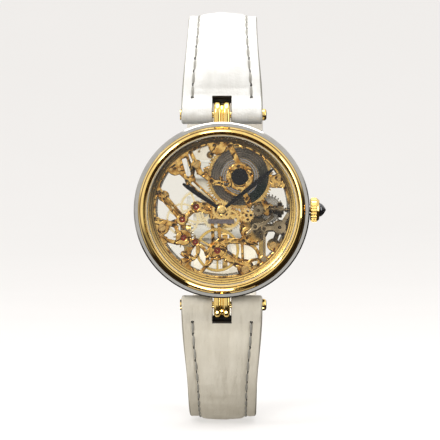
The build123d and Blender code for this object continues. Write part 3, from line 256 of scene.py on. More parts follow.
def leather(name, light, dark, rough=(0.4, 0.6), grain=0.34, wrinkle=0.05):
    """A pored, wrinkled leather, patchy between two tones."""
    s = Surface(name)
    s.put("Specular IOR Level", 0.45)
    pores = s.cells(grain)
    fine = s.noise(grain * 0.5, detail=6.0)
    folds = s.noise((1.6, 9.0, 9.0), detail=5.0, rough=0.55)
    patch = s.noise(3.2, detail=4.0)
    hide = s.mix(s.span(s.math("MULTIPLY", patch, folds), 0.0, 1.9), dark, light)
    # darker sides, and painted shade on the walls of the notches round the lugs
    x, y, z = [s.math("ABSOLUTE", out) for out in s.axes()[:3]]
    # darker along the strap's sides
    side = s.math("ADD", x, s.math("MULTIPLY", z, SIDE_TAPER))
    dark_sides = s.math("MULTIPLY", s.math("GREATER_THAN", side, SIDE_AT), 0.7)
    hide = s.mix(dark_sides, hide, (0.16, 0.15, 0.11))
    near = s.math("LESS_THAN", x, NOTCH_SHADE_BOX[0])
    for out, limit in ((z, NOTCH_SHADE_BOX[2]), (y, NOTCH_SHADE_BOX[1])):
        near = s.math("MULTIPLY", near, s.math("LESS_THAN", out, limit))
    # painted shade: the notch walls are near black
    s.colour(s.mix(near, hide, (0.014, 0.010, 0.008)))
    s.rough(s.span(s.noise(1.1, detail=4.0), *rough))
    first = s.bump(pores, 0.035, 0.6)
    second = s.bump(fine, 0.03, 0.5, under=first)
    s.normal(s.bump(folds, wrinkle, 0.8, under=second))
    return s.mat


def clear(name, tint, face=0.02, rim=0.5):
    """Thin clear sapphire: what is behind shows through, with a reflection over it that grows
    from face, seen straight on, to rim, seen along the glass."""
    mat = bpy.data.materials.new(name)
    mat.use_nodes = True
    tree = mat.node_tree
    tree.nodes.remove(tree.nodes["Principled BSDF"])
    see = tree.nodes.new("ShaderNodeBsdfTransparent")
    see.inputs["Color"].default_value = (*tint, 1)
    gloss = tree.nodes.new("ShaderNodeBsdfGlossy")
    gloss.inputs["Roughness"].default_value = 0.02
    turn = tree.nodes.new("ShaderNodeLayerWeight")
    steep = tree.nodes.new("ShaderNodeMath")
    steep.operation = "POWER"
    steep.inputs[1].default_value = 4.0
    part = tree.nodes.new("ShaderNodeMath")
    part.operation = "MULTIPLY_ADD"
    part.inputs[1].default_value = rim
    part.inputs[2].default_value = face
    mix = tree.nodes.new("ShaderNodeMixShader")
    tree.links.new(turn.outputs["Facing"], steep.inputs[0])
    tree.links.new(steep.outputs[0], part.inputs[0])
    tree.links.new(part.outputs[0], mix.inputs[0])
    tree.links.new(see.outputs[0], mix.inputs[1])
    tree.links.new(gloss.outputs[0], mix.inputs[2])
    tree.links.new(mix.outputs[0], tree.nodes["Material Output"].inputs["Surface"])
    return mat


# the engraving's scrolls: their size, and how many lines fill the noise they follow
SCROLL_SIZE = 2.6
SCROLL_LINES = 7.0
# the painted shade under the keyless works near the crown, the strap's darker sides (at SIDE_AT,
# narrower by SIDE_TAPER for each millimetre of height) and the box that holds the painted shade
# on the walls of its notches
WORKS = (7.4, -1.4)
WORKS_R = 5.2
SIDE_AT = 6.84
SIDE_TAPER = 0.065
NOTCH_SHADE_BOX = (1.44, 8.0, 16.86)

GOLD_LIGHT = (0.96, 0.72, 0.28)
GOLD_DARK = (0.86, 0.57, 0.16)
PLATE_LIGHT = (0.86, 0.56, 0.22)
PLATE_DARK = (0.62, 0.33, 0.09)
BARREL = (2.65, 4.90)
BALANCE = (-0.66, -5.97)

# the bezel and the rehaut carry thin lines of painted shade round the dial
bezel_gold = metal(
    "bezel_gold", GOLD_LIGHT, GOLD_DARK, (0.05, 0.13), 2.2, 0.0015, 1.4,
    lines=((12.02, 0.10), (11.36, 0.08)),
)
lug_gold = metal("lug_gold", GOLD_LIGHT, GOLD_DARK, (0.08, 0.2), 0.9, 0.004, 0.5)
buckle_gold = metal("buckle_gold", GOLD_LIGHT, GOLD_DARK, (0.1, 0.25), 0.8, 0.004, 0.5)
rehaut_gold = metal(
    "rehaut_gold", GOLD_LIGHT, GOLD_DARK, (0.1, 0.22), 1.0, 0.01, 0.25,
    lines=((10.33, 0.09), (10.64, 0.08), (10.07, 0.06)),
)
# the dark brown painted into the engraved grooves and punched ground stands in for their shade
ENGRAVED_GROOVE_SHADE = (0.10, 0.042, 0.010)
plate_gold = engraved(
    "plate_gold", (0.88, 0.58, 0.19), (0.42, 0.20, 0.035), ENGRAVED_GROOVE_SHADE, works=WORKS
)
bridge_gold = engraved("bridge_gold", (0.86, 0.56, 0.18), (0.38, 0.18, 0.03), ENGRAVED_GROOVE_SHADE)
plaque_gold = metal(
    "plaque_gold", (0.34, 0.29, 0.30), (0.05, 0.045, 0.06), (0.1, 0.24), 0.3, 0.01, 0.3
)
wheel_gold = metal("wheel_gold", GOLD_LIGHT, PLATE_LIGHT, (0.16, 0.3), 0.6, 0.008, 0.2)
pale_gold = metal(
    "pale_gold", (1.0, 0.90, 0.66), (0.92, 0.76, 0.45), (0.12, 0.26), 0.8, 0.004, 0.2
)
barrel_gold = metal(
    "barrel_gold", GOLD_LIGHT, PLATE_DARK, (0.18, 0.34), 0.6, rings=(BARREL, 0.16, 0.006)
)
balance_gold = metal(
    "balance_gold", GOLD_LIGHT, GOLD_DARK, (0.1, 0.22), 0.6, rings=(BALANCE, 0.12, 0.003)
)
case_steel = metal(
    "case_steel", (0.56, 0.55, 0.52), (0.40, 0.39, 0.37), (0.06, 0.16), 1.2, 0.002, 0.6
)
back_steel = metal(
    "back_steel", (0.66, 0.66, 0.65), (0.48, 0.48, 0.47), (0.2, 0.34), 1.2,
    rings=((0, 0), 0.22, 0.006),
)
# the levers near the keyless works carry a patch of painted shade
lever_steel = metal(
    "lever_steel", (0.66, 0.52, 0.33), (0.035, 0.028, 0.02), (0.08, 0.22), 1.1, 0.02, 0.3,
    shade_patch=((7.2, -0.4), 2.6, (0.10, 0.075, 0.045)),
)
wheel_steel = metal(
    "wheel_steel", (0.66, 0.64, 0.60), (0.42, 0.40, 0.37), (0.14, 0.3), 0.5,
    rings=(BARREL, 0.2, 0.008),
)
# the barrel cover carries a dark green patch of painted shade
dark_cover = metal(
    "dark_cover", (0.30, 0.25, 0.21), (0.012, 0.02, 0.017), (0.2, 0.34), 2.4,
    rings=(BARREL, 0.34, 0.014), shade_patch=((5.6, 2.6), 5.2, (0.010, 0.022, 0.018)),
)
black_steel = metal("black_steel", (0.012, 0.012, 0.016), (0.004, 0.004, 0.006), (0.08, 0.2), 0.6)
screw_steel = metal(
    "screw_steel", (0.96, 0.68, 0.28), (0.22, 0.09, 0.02), (0.05, 0.16), 0.5, 0.02, 0.4
)
spring_steel = metal("spring_steel", (0.46, 0.47, 0.52), (0.24, 0.25, 0.30), (0.12, 0.24), 0.4)
upper_leather = leather("upper_leather", (0.72, 0.715, 0.695), (0.54, 0.53, 0.495), wrinkle=0.12)
# the lower half's leather is a darker copy of the upper's, a little yellower: the darkening is
# painted shade on the half that faces down
lower_leather = leather("lower_leather", (0.70, 0.66, 0.565), (0.50, 0.455, 0.365), wrinkle=0.3)
lining_leather = leather(
    "lining_leather", (0.82, 0.78, 0.70), (0.68, 0.63, 0.54), (0.6, 0.8), 0.2
)
crystal_glass = clear("crystal_glass", (0.985, 0.98, 0.96))

thread = Surface("thread", rough=0.7)
twist = thread.add("ShaderNodeTexWave", Scale=1.0)
twist.inputs["Distortion"].default_value = 1.5
thread.join(thread.scaled((0.3, 0.3, 0.3)), twist, "Vector")
thread.colour(thread.mix(twist.outputs["Fac"], (0.20, 0.195, 0.17), (0.44, 0.425, 0.38)))
thread.normal(thread.bump(twist.outputs["Fac"], 0.03))

# painted shade: the near-black of the needle holes and of the sheets in the notches
shade_dark = Surface("painted_shade_dark", rough=0.9)
shade_dark.colour(shade_dark.mix(shade_dark.noise(0.2), (0.035, 0.035, 0.03), (0.12, 0.115, 0.1)))

ruby = Surface("ruby", rough=0.06)
ruby.colour(ruby.mix(ruby.noise(0.3), (0.09, 0.006, 0.002), (0.30, 0.030, 0.006)))
ruby.put("Specular IOR Level", 0.22)

onyx = Surface("onyx", rough=0.05)
onyx.colour(onyx.mix(onyx.noise(0.8), (0.004, 0.004, 0.006), (0.016, 0.016, 0.02)))
onyx.put("Coat Weight", 1.0)

nylon = Surface("nylon", rough=0.35)
nylon.colour(nylon.mix(nylon.noise(0.3), (0.62, 0.50, 0.30), (0.72, 0.60, 0.38)))

WEAR = {
    bezel_gold: ["bezel"],
    lug_gold: ["lugs", "strap_bars", "crown"],
    buckle_gold: ["buckle_frame", "buckle_tang"],
    rehaut_gold: ["rehaut"],
    plate_gold: ["main_plate", "pallet_cock"],
    plaque_gold: ["name_plaque"],
    bridge_gold: ["balance_cock", "barrel_bridge", "train_bridge", "shock_settings"],
    wheel_gold: [
        "cannon_pinion", "hand_cap", "hour_wheel", "minute_wheel", "setting_idler",
    ],
    pale_gold: ["centre_wheel", "fourth_wheel", "third_wheel"],
    barrel_gold: ["barrel"],
    balance_gold: ["balance_wheel"],
    case_steel: ["case_middle", "buckle_bar", "movement_holder"],
    back_steel: ["case_back"],
    lever_steel: [
        "click", "clutch", "lever_spring", "setting_lever", "setting_wheel", "stem",
        "winding_pinion", "yoke", "escape_wheel", "pallet_fork", "click_spring",
    ],
    wheel_steel: ["crown_wheel", "ratchet_wheel"],
    dark_cover: ["barrel_cover"],
    black_steel: ["hour_hand", "minute_hand", "barrel_arbor"],
    screw_steel: ["movement_screws"],
    spring_steel: ["hairspring", "mainspring", "regulator"],
    ruby.mat: ["jewels"],
    onyx.mat: ["crown_cabochon"],
    nylon.mat: ["gaskets"],
    crystal_glass: ["crystal", "back_crystal"],
}
for material, names in WEAR.items():
    for name in names:
        nodes[name].data.materials.clear()
        nodes[name].data.materials.append(material)


def edged(names, width, segments=2):
    """Breaks the sharp edges of CAD pieces, so that they catch the light."""
    for name in names:
        weld = nodes[name].modifiers.new("weld", "WELD")
        weld.merge_threshold = 1e-6
        edge = nodes[name].modifiers.new("edge", "BEVEL")
        edge.width = width * MM
        edge.segments = segments
        edge.limit_method = "ANGLE"
        edge.angle_limit = math.radians(38)
        edge.use_clamp_overlap = False
        edge.harden_normals = False


PLATES = ["main_plate", "barrel_bridge", "train_bridge", "balance_cock", "pallet_cock"]
SMALL_PIECES = [
    "movement_screws", "name_plaque", "balance_wheel", "barrel", "centre_wheel", "click",
    "hour_hand", "minute_hand", "hand_cap", "yoke", "setting_lever", "lever_spring",
    "setting_idler", "setting_wheel", "ratchet_wheel", "crown_wheel", "clutch",
]
edged(PLATES, 0.11)
edged(SMALL_PIECES, 0.03, 1)


# ---- mesh helpers --------------------------------------------------------------------------
def new_piece(name, verts, faces, material, body, slot):
    """A smooth piece from points in millimetres, riding on a body."""
    mesh = bpy.data.meshes.new(name)
    mesh.from_pydata([Vector(v) * MM for v in verts], [], faces)
    tidy = bmesh.new()
    tidy.from_mesh(mesh)
    bmesh.ops.remove_doubles(tidy, verts=tidy.verts, dist=1e-7)
    bmesh.ops.dissolve_degenerate(tidy, edges=tidy.edges, dist=1e-8)
    bmesh.ops.recalc_face_normals(tidy, faces=tidy.faces)
    tidy.to_mesh(mesh)
    tidy.free()
    mesh.polygons.foreach_set("use_smooth", [True] * len(mesh.polygons))
    mesh.materials.append(material)
    piece = bpy.data.objects.new(name, mesh)
    bpy.context.scene.collection.objects.link(piece)
    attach(piece, body)
    return piece


def shell(top, bottom, kept):
    """A closed sheet between two grids of points, without the cells that kept turns down."""
    rows, cols = len(top), len(top[0])
    half = rows * cols
    verts = [p for row in top for p in row] + [p for row in bottom for p in row]
    faces = []

    def cell(i, j):
        return 0 <= i < rows - 1 and 0 <= j < cols - 1 and kept(i, j)

    for i in range(rows - 1):
        for j in range(cols - 1):
            if not cell(i, j):
                continue
            a, d = i * cols + j, (i + 1) * cols + j
            b, c = a + 1, d + 1
            faces.append((a, b, c, d))
            faces.append((d + half, c + half, b + half, a + half))
            for near, one, other in (
                ((i - 1, j), a, b), ((i, j + 1), b, c), ((i + 1, j), c, d), ((i, j - 1), d, a),
            ):
                if not cell(*near):
                    faces.append((one, one + half, other + half, other))
    return verts, faces


def walk(start, heading, route, step):
    """Points every step or so along straight runs and arcs: (travelled, y, z, heading)."""
    y, z = start
    travelled = 0.0
    out = [(travelled, y, z, heading)]
    for size, turn in route:
        length = size * math.radians(abs(turn)) if turn else size
        count = max(1, round(length / step))
        for _ in range(count):
            move = length / count
            middle = heading + turn / count / 2
            if turn:
                half = math.radians(abs(turn) / count / 2)
                move = 2 * size * math.sin(half)
            y += move * math.cos(math.radians(middle))
            z += move * math.sin(math.radians(middle))
            heading += turn / count
            travelled += length / count
            out.append((travelled, y, z, heading))
    return out


def ease(value, low, high):
    """0 below low, 1 above high, and a smooth rise between."""
    t = min(1.0, max(0.0, (value - low) / (high - low)))
    return t * t * (3 - 2 * t)


def bell(distance, width):
    """1 at no distance, falling smoothly towards 0 past the width."""
    return math.exp(-((distance / width) ** 2))


def rounding(distance, radius):
    """How far a rounded edge lies below the flat, this far in from the edge."""
    if distance >= radius:
        return 0.0
    left = radius - max(distance, 0.0)
    return radius - math.sqrt(max(radius * radius - left * left, 0.0))


# ---- strap ---------------------------------------------------------------------------------
ACROSS = 72
STEP = 0.28
# heights over the centre line: the pad between the seams, the flange outside them, the lining
PAD_TOP = 1.22
FLANGE_DROP = 0.52
LINING_AT = -0.3
LINING_BACK = 1.2
EDGE_R = 0.38
LINING_EDGE_R = 0.3
# each half narrows by so much between two heights, and ends in a rounded tip or at the buckle
TAPER = ((0.85, 15.0, 28.0), (0.15, 27.0, 34.0))
TAIL_TIP = 5.5
REAR_FROM = 56
SEAM_FROM = 2.4
SEAM_STOP = 6
SEAM_DIP = 0.13
SEAM_WIDTH = 0.24
# a pressed line across the pad near the lug, with a soft ridge behind it
CREASE = 3.8
CREASE_DEPTH = 0.09
CREASE_WIDTH = 0.16
RIDGE = 4.5
RIDGE_HEIGHT = 0.02
RIDGE_WIDTH = 0.5
# wrinkles: (height, waves for each millimetre across and along, seed, octaves, full this far in)
WRINKLES = ((0.10, 0.55, 0.16, 7.0, 4, 1.2), (0.05, 0.12, 0.8, 3.0, 3, 1.0))


class Strap:
    """One half of the strap: where its surfaces lie at a place (s, x) along and across it."""

    def __init__(self, start, heading, route, outward, rear_height):
        self.path = walk(start, heading, route, STEP)
        self.length = self.path[-1][0]
        self.outward = outward
        self.rear_height = rear_height
        self.tipped = outward < 0

    def rear(self, s):
        """0 on the part round the wrist, 1 on the thinner part at the buckle."""
        return ease(s, REAR_FROM - 8, REAR_FROM + 4)

    def half_width(self, s):
        z = abs(self.at(s)[1])
        side = TAIL_HALF
        if s < REAR_FROM:
            narrowed = sum(amount * ease(z, low, high) for amount, low, high in TAPER)
            side = max(STRAP_HALF - narrowed, TAIL_HALF)
        if self.tipped and s > self.length - TAIL_TIP:
            t = (s - self.length + TAIL_TIP) / TAIL_TIP
            side *= math.sqrt(max(1 - t ** 2.6, 0.0004))
        return side

    def at(self, s):
        """The centre line's (y, z, heading) there."""
        index = min(len(self.path) - 2, max(0, int(s / self.length * (len(self.path) - 1)) - 2))
        while index < len(self.path) - 2 and self.path[index + 1][0] < s:
            index += 1
        a, b = self.path[index], self.path[index + 1]
        t = (s - a[0]) / (b[0] - a[0])
        return [p + (q - p) * t for p, q in zip(a[1:], b[1:])]

    def point(self, s, x, offset):
        """A place offset millimetres out from the centre line."""
        y, z, heading = self.at(s)
        aim = math.radians(heading + 90 * self.outward)
        return (x, y + offset * math.cos(aim), z + offset * math.sin(aim))

    def stitched(self, s):
        """1 along the seams, 0 past their ends."""
        return ease(s, 2.2, 2.8) * (1 - ease(s, self.length - 9.0, self.length - 8.4))

    def top(self, s, x):
        """The outer leather's height over the centre line."""
        half = self.half_width(s)
        edge = half - abs(x)
        rear = self.rear(s)
        full = PAD_TOP + (self.rear_height - PAD_TOP) * rear
        flange = full - FLANGE_DROP * (1 - rear * 0.55)
        inside = max(0.0, 1 - (abs(x) / max(half - STITCH_INSET, 0.1)) ** 2)
        pad = (full - flange) * inside ** 0.55 * ease(s, 2.6, 7.5)
        height = flange + pad * (1 if edge > STITCH_INSET else 0)
        height += (ROLL_R - height) * (1 - ease(s, 0.4, 2.9))
        height -= SEAM_DIP * bell(edge - STITCH_INSET, SEAM_WIDTH) * self.stitched(s)
        if edge > STITCH_INSET:
            height -= CREASE_DEPTH * bell(s - CREASE, CREASE_WIDTH)
            height += RIDGE_HEIGHT * bell(s - RIDGE, RIDGE_WIDTH)
        if not self.tipped:
            height += (BUCKLE_ROLL_R - height) * ease(s, self.length - 2.4, self.length - 0.5)
        for size, across, along, seed, octaves, full_at in WRINKLES:
            place = Vector((x * across, s * along, self.outward * seed))
            height += size * noise.fractal(place, 1.0, 2.0, octaves) * ease(edge, 0.2, full_at)
        return height - rounding(edge, EDGE_R)

    def bottom(self, s, x):
        """The outer leather's underside, where the lining starts."""
        low = LINING_AT + (-ROLL_R - LINING_AT) * (1 - ease(s, 0.2, 1.7))
        if not self.tipped:
            low += (-BUCKLE_ROLL_R - low) * ease(s, self.length - 1.9, self.length - 0.3)
        return low

    def lining_top(self, s, x):
        return LINING_AT - 0.004

    def lining_bottom(self, s, x):
        full = LINING_BACK + (self.rear_height - LINING_BACK) * self.rear(s)
        return -full + rounding(self.half_width(s) - abs(x), LINING_EDGE_R)


def strap_grid(strap, upper, lower, first_roll=0, last_roll=0):
    """Top and bottom grids of a strap half, with its ends rolled round their bars."""
    top, bottom, marks = [], [], []

    def add_row(make, s):
        """One row of points; the columns lie closer together near the edges."""
        half = strap.half_width(s)
        spread = [2 * j / ACROSS - 1 for j in range(ACROSS + 1)]
        xs = [half * math.sin(math.pi / 2 * t) * 0.35 + half * t * 0.65 for t in spread]
        top.append([make(x, 1) for x in xs])
        bottom.append([make(x, -1) for x in xs])
        marks.append((s, xs))

    def roll(s, centre_s, radius, back):
        y, z, heading = strap.at(centre_s)
        aim = math.radians(heading + (180 if back else 0))
        out = math.radians(heading + 90 * strap.outward)

        def make(x, side):
            turn = math.radians(s)
            squeeze = radius - rounding(strap.half_width(centre_s) - abs(x), EDGE_R)
            along, up = squeeze * math.cos(turn), side * squeeze * math.sin(turn)
            return (
                x,
                y + along * math.cos(aim) + up * math.cos(out),
                z + along * math.sin(aim) + up * math.sin(out),
            )

        return make

    if first_roll:
        for degrees in range(0, 90, 10):
            add_row(roll(degrees, 0.0, first_roll, True), 0.0)
    for s, *_ in strap.path:
        add_row(
            lambda x, side, s=s: strap.point(s, x, upper(s, x) if side > 0 else lower(s, x)), s
        )
    if last_roll:
        for degrees in range(80, -1, -10):
            add_row(roll(degrees, strap.length, last_roll, False), strap.length)
    return top, bottom, marks


def cut_outs(strap, marks, holes):
    """Which cells of a strap's grid are kept: not the lug notch, the slots or the tang holes."""

    def kept(i, j):
        s = (marks[i][0] + marks[i + 1][0]) / 2
        x = (marks[i][1][j] + marks[i][1][j + 1]) / 2
        if s < NOTCH_END and abs(x) < NOTCH_HALF:
            return False
        y, z, _ = strap.at(s)
        return not (y > 30 and any(test(x, z) for test in holes))

    return kept


half_12 = Strap((-BAR_HEIGHT, BAR_REACH), LEAN, ROUTE_12, 1, 1.0)
half_6 = Strap((-BAR_HEIGHT, -BAR_REACH), -LEAN, ROUTE_6, -1, 0.85)

# openings near the buckle, as tests of a place across and up the strap: a slot in each half,
# and the round holes for the tang at these heights
TANG_HOLES = (-1.2, 3.0, 7.2)
TANG_HOLE_R = 0.55
slot_12 = [lambda x, z: abs(x) < 1.1 and -6.0 < z < -2.6]
slots_6 = [lambda x, z: abs(x) < 0.65 and -10.8 < z < -4.2] + [
    lambda x, z, at=at: math.hypot(x, z - at) < TANG_HOLE_R for at in TANG_HOLES
]

for label, strap, holes, last, material in (
    ("12", half_12, slot_12, BUCKLE_ROLL_R, upper_leather),
    ("6", half_6, slots_6, 0, lower_leather),
):
    top, bottom, marks = strap_grid(strap, strap.top, strap.bottom, ROLL_R, last)
    piece = new_piece(
        "strap_leather_" + label, *shell(top, bottom, cut_outs(strap, marks, holes)), material,
        "case", "ivory_leather",
    )
    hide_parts("strap_" + label)

    top, bottom, marks = strap_grid(strap, strap.lining_top, strap.lining_bottom)
    inner = cut_outs(strap, marks, holes)
    end = strap.length - (1.3 if not strap.tipped else 0)
    piece = new_piece(
        "strap_backing_" + label,
        *shell(top, bottom, lambda i, j: inner(i, j) and 1.5 < marks[i][0] < end),
        lining_leather, "case", "lining_leather",
    )
    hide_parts("strap_" + label + "_lining")


THREAD_END_R = 0.10
THREAD_SWELL = 0.09
THREAD_GAP = 0.16
THREAD_SIDES = 8
THREAD_STEPS = 10
PIT_RINGS = ((0.06, 0.24), (0.0, 0.18), (-0.12, 0.06))


def add_tube(verts, faces, rings):
    """Adds a closed tube through rings of THREAD_SIDES points each."""
    base = len(verts)
    verts += [point for ring in rings for point in ring]
    for i in range(len(rings) - 1):
        low, high = base + i * THREAD_SIDES, base + (i + 1) * THREAD_SIDES
        for a in range(THREAD_SIDES):
            b = (a + 1) % THREAD_SIDES
            faces.append((low + a, low + b, high + b, high + a))
    last = base + (len(rings) - 1) * THREAD_SIDES
    faces.append(tuple(base + a for a in range(THREAD_SIDES)))
    faces.append(tuple(last + a for a in reversed(range(THREAD_SIDES))))


def stitch_row(strap, first, last):
    """Thread and needle holes of both seams, each stitch dipping into its holes."""
    threads, pits = ([], []), ([], [])
    turns = [2 * math.pi * a / THREAD_SIDES for a in range(THREAD_SIDES)]

    def thread_ring(s0, side, t):
        s = s0 + THREAD_GAP + (STITCH_PITCH - 2 * THREAD_GAP) * t
        seam = side * (strap.half_width(s) - STITCH_INSET)
        x = seam + 0.10 * side * (t - 0.5)
        lift = math.sin(math.pi * t) ** 0.5
        radius = THREAD_END_R + THREAD_SWELL * lift
        centre = strap.top(s, seam) - 0.1 + 0.2 * lift
        return [
            strap.point(s, x + radius * math.cos(turn), centre + radius * math.sin(turn))
            for turn in turns
        ]

    def pit_ring(s0, side, ring, size):
        x = side * (strap.half_width(s0) - STITCH_INSET)
        height = strap.top(s0, x) + ring
        return [
            strap.point(s0 + size * 1.3 * math.sin(turn), x + size * math.cos(turn), height)
            for turn in turns
        ]

    for side in (-1, 1):
        for k in range(int((last - first) / STITCH_PITCH)):
            s0 = first + k * STITCH_PITCH
            steps = [i / THREAD_STEPS for i in range(THREAD_STEPS + 1)]
            add_tube(*threads, [thread_ring(s0, side, t) for t in steps])
            add_tube(*pits, [pit_ring(s0, side, *ring) for ring in PIT_RINGS])
    return threads, pits


HALVES = (("12", half_12), ("6", half_6))
for label, strap in HALVES:
    threads, pits = stitch_row(strap, SEAM_FROM, strap.length - SEAM_STOP)
    new_piece("stitches_" + label, *threads, thread.mat, "case", "ivory_leather")
    # the needle holes are dark plugs of painted shade
    new_piece("stitch_holes_" + label, *pits, shade_dark.mat, "case", "ivory_leather")


# a dark sheet of painted shade closes each notch behind the end of its lug
SHADE_SHEET_HALF = 1.5
SHADE_SHEET_FROM = 1.95
SHADE_SHEET_FACES = ((-0.75, -0.1), (-1.15, 0.1))
for label, strap in HALVES:
    rows = [SHADE_SHEET_FROM + 0.1 * k for k in range(8)]
    columns = [-SHADE_SHEET_HALF + 0.25 * k for k in range(13)]
    top, bottom = [
        [
            [strap.point(s, x, level + thin * rounding(SHADE_SHEET_HALF - abs(x), 0.3)) for x in columns]
            for s in rows
        ]
        for level, thin in SHADE_SHEET_FACES
    ]
    new_piece(
        "notch_shade_sheet_" + label, *shell(top, bottom, lambda i, j: True), shade_dark.mat, "case",
        "lining_leather",
    )


# ---- keepers -------------------------------------------------------------------------------
KEEPER_HALF = (5.25, 2.35)
KEEPER_MIDDLE = 39.06
KEEPER_WALL = 0.8
KEEPER_CORNER = 0.5
KEEPER_EDGE_R = 0.3
KEEPER_INNER_R = 0.12
KEEPER_STEPS = 24
KEEPER_SPACING = 0.4


def keeper_outline():
    """Points of a rounded rectangle's centre line, as (x, y, direction x, direction y)."""
    ring = []
    for side_x, side_y, turn in ((1, 1, 0), (-1, 1, 90), (-1, -1, 180), (1, -1, 270)):
        for step in range(9):
            a = math.radians(turn + step * 90 / 8)
            x = side_x * (KEEPER_HALF[0] - KEEPER_CORNER)
            y = side_y * (KEEPER_HALF[1] - KEEPER_CORNER)
            ring.append((x, y, math.cos(a), math.sin(a)))
    dense = []
    for k, here in enumerate(ring):
        there = ring[(k + 1) % len(ring)]
        parts = max(1, int(math.dist(here[:2], there[:2]) / KEEPER_SPACING))
        for p in range(parts):
            dense.append([a + (b - a) * p / parts for a, b in zip(here, there)])
    return dense


def keeper_profile(low, high):
    """The loop's section as (height along the strap, distance out): outer face, then inner."""
    width = high - low
    steps = [k / KEEPER_STEPS for k in range(KEEPER_STEPS + 1)]
    profile = []
    for t in steps:
        edge = min(t, 1 - t) * width
        crease = 0.06 * bell(edge - 0.55, 0.1)
        profile.append((low + width * t, KEEPER_WALL - rounding(edge, KEEPER_EDGE_R) - crease))
    for t in reversed(steps):
        profile.append((low + width * t, rounding(min(t, 1 - t) * width, KEEPER_INNER_R)))
    return profile


def keeper(name, low, high, body):
    """A flat leather loop with rounded edges and a creased line along each side."""
    outline, profile = keeper_outline(), keeper_profile(low, high)
    verts, faces = [], []
    for px, py, nx, ny in outline:
        length = math.hypot(nx, ny)
        nx, ny = nx / length, ny / length
        for z, out in profile:
            reach = KEEPER_CORNER + out + 0.03 * noise.noise(Vector((px, py, z)) * 0.9)
            verts.append((px + nx * reach, KEEPER_MIDDLE + py + ny * reach, z))
    around, size = len(outline), len(profile)
    for k in range(around):
        n = (k + 1) % around
        for p in range(size):
            q = (p + 1) % size
            faces.append((k * size + p, n * size + p, n * size + q, k * size + q))
    piece = new_piece(name + "_leather", verts, faces, upper_leather, body, "ivory_leather")
    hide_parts(name)


keeper("fixed_keeper", -1.8, 1.2, "case")
keeper("free_keeper", 3.7, 6.7, "free_keeper_body")


# ---- camera, floor and light ---------------------------------------------------------------
LENS = 300.0
SENSOR = 36.0
VIEW_WIDE = 64.8
AIM = Vector((-0.25, -5.5, -1.43)) * MM
AZIMUTH, ELEVATION = 0.7, 1.9
camera = bpy.data.objects.new("camera", bpy.data.cameras.new("camera"))
bpy.context.scene.collection.objects.link(camera)
camera.data.lens = LENS
camera.data.sensor_width = SENSOR
camera.data.clip_start = 0.005
camera.data.clip_end = 10
away = Vector((
    math.sin(math.radians(AZIMUTH)) * math.cos(math.radians(ELEVATION)),
    -math.cos(math.radians(AZIMUTH)) * math.cos(math.radians(ELEVATION)),
    math.sin(math.radians(ELEVATION)),
))
camera.location = AIM + away * VIEW_WIDE * MM * LENS / SENSOR
camera.rotation_euler = (-away).to_track_quat("-Z", "Y").to_euler()
bpy.context.scene.camera = camera

# a round floor that curves up into a backdrop on every side, in metres
FLOOR_GAP = 0.0002
FLAT_R = 0.7
CURVE_R = 0.4
WALL_R = FLAT_R + CURVE_R
SIDES = 96
floor_z = cad_low.z - FLOOR_GAP
profile = [(r, 0.0) for r in (0.0, 0.05, 0.1, 0.2, 0.4, FLAT_R)]
for degrees in range(6, 91, 6):
    a = math.radians(degrees)
    profile.append((FLAT_R + CURVE_R * math.sin(a), CURVE_R - CURVE_R * math.cos(a)))
profile += [(WALL_R, 0.8), (WALL_R, 1.5)]
verts, faces = [], []
for r, h in profile:
    for k in range(SIDES):
        a = 2 * math.pi * k / SIDES
        verts.append((r * math.cos(a), r * math.sin(a), floor_z + h))
for i in range(len(profile) - 1):
    for k in range(SIDES):
        n = (k + 1) % SIDES
        faces.append((i * SIDES + k, i * SIDES + n, (i + 1) * SIDES + n, (i + 1) * SIDES + k))
cove = bpy.data.meshes.new("floor")
cove.from_pydata(verts, [], faces)
cove.polygons.foreach_set("use_smooth", [True] * len(cove.polygons))
floor = bpy.data.objects.new("floor", cove)
bpy.context.scene.collection.objects.link(floor)
pale = Surface("floor", rough=0.9)
pale.colour(pale.mix(pale.noise(60.0), (0.26, 0.25, 0.245), (0.28, 0.27, 0.265)))
pale.put("Emission Color", (0.97, 0.955, 0.935, 1))
pale.put("Emission Strength", 0.60)
cove.materials.append(pale.mat)
floor.visible_glossy = False
floor.visible_diffuse = False
floor.visible_shadow = False


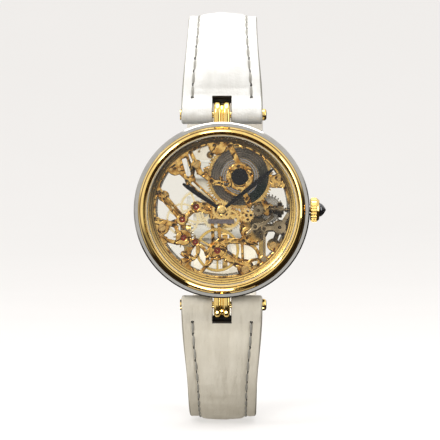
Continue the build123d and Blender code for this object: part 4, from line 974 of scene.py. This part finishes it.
def softbox(name, place, wide, high, power, tint=(1, 1, 1)):
    """A rectangular light at a place in metres, aimed at the middle of the view."""
    light = bpy.data.lights.new(name, "AREA")
    light.shape = "RECTANGLE"
    light.size, light.size_y = wide, high
    light.energy = power
    light.color = tint
    lamp = bpy.data.objects.new(name, light)
    lamp.location = place
    lamp.rotation_euler = (AIM - Vector(place)).to_track_quat("-Z", "Y").to_euler()
    lamp.visible_camera = False
    bpy.context.scene.collection.objects.link(lamp)


softbox("key", (-0.26, -0.30, 0.26), 0.22, 0.22, 1.25)
softbox("top", (0.02, -0.05, 0.36), 0.34, 0.26, 1.25)
softbox("side", (0.34, -0.16, 0.10), 0.14, 0.3, 0.5)
# the floor casts no shadow, so this one stands in for the light that it would throw back up
softbox("low", (-0.06, -0.17, -0.43), 0.24, 0.16, 1.15, (1.0, 0.97, 0.92))

# a pale room, dark below, in uneven patches that show as reflections in the metal
world = bpy.data.worlds.new("studio")
bpy.context.scene.world = world
world.use_nodes = True
sky = world.node_tree
ground = sky.nodes["Background"]
coordinate = sky.nodes.new("ShaderNodeTexCoord")
tone = sky.nodes.new("ShaderNodeVectorMath")
tone.operation = "DOT_PRODUCT"
tone.inputs[1].default_value = Vector((0.26, 0.10, -0.96)).normalized()
patches = sky.nodes.new("ShaderNodeTexNoise")
patches.inputs["Scale"].default_value = 2.6
patches.inputs["Detail"].default_value = 1.5
blend = sky.nodes.new("ShaderNodeMath")
blend.operation = "MULTIPLY_ADD"
blend.inputs[1].default_value = 1.5
shade = sky.nodes.new("ShaderNodeValToRGB")
shade.color_ramp.elements[0].position = 0.52
shade.color_ramp.elements[0].color = (1.0, 0.985, 0.96, 1)
shade.color_ramp.elements[1].position = 1.0
shade.color_ramp.elements[1].color = (0.035, 0.028, 0.022, 1)
sky.links.new(coordinate.outputs["Generated"], tone.inputs[0])
sky.links.new(coordinate.outputs["Generated"], patches.inputs["Vector"])
sky.links.new(patches.outputs["Fac"], blend.inputs[0])
sky.links.new(tone.outputs["Value"], blend.inputs[2])
sky.links.new(blend.outputs[0], shade.inputs["Fac"])
sky.links.new(shade.outputs["Color"], ground.inputs["Color"])
ground.inputs["Strength"].default_value = 1.0
bpy.context.scene.view_settings.view_transform = "Standard"
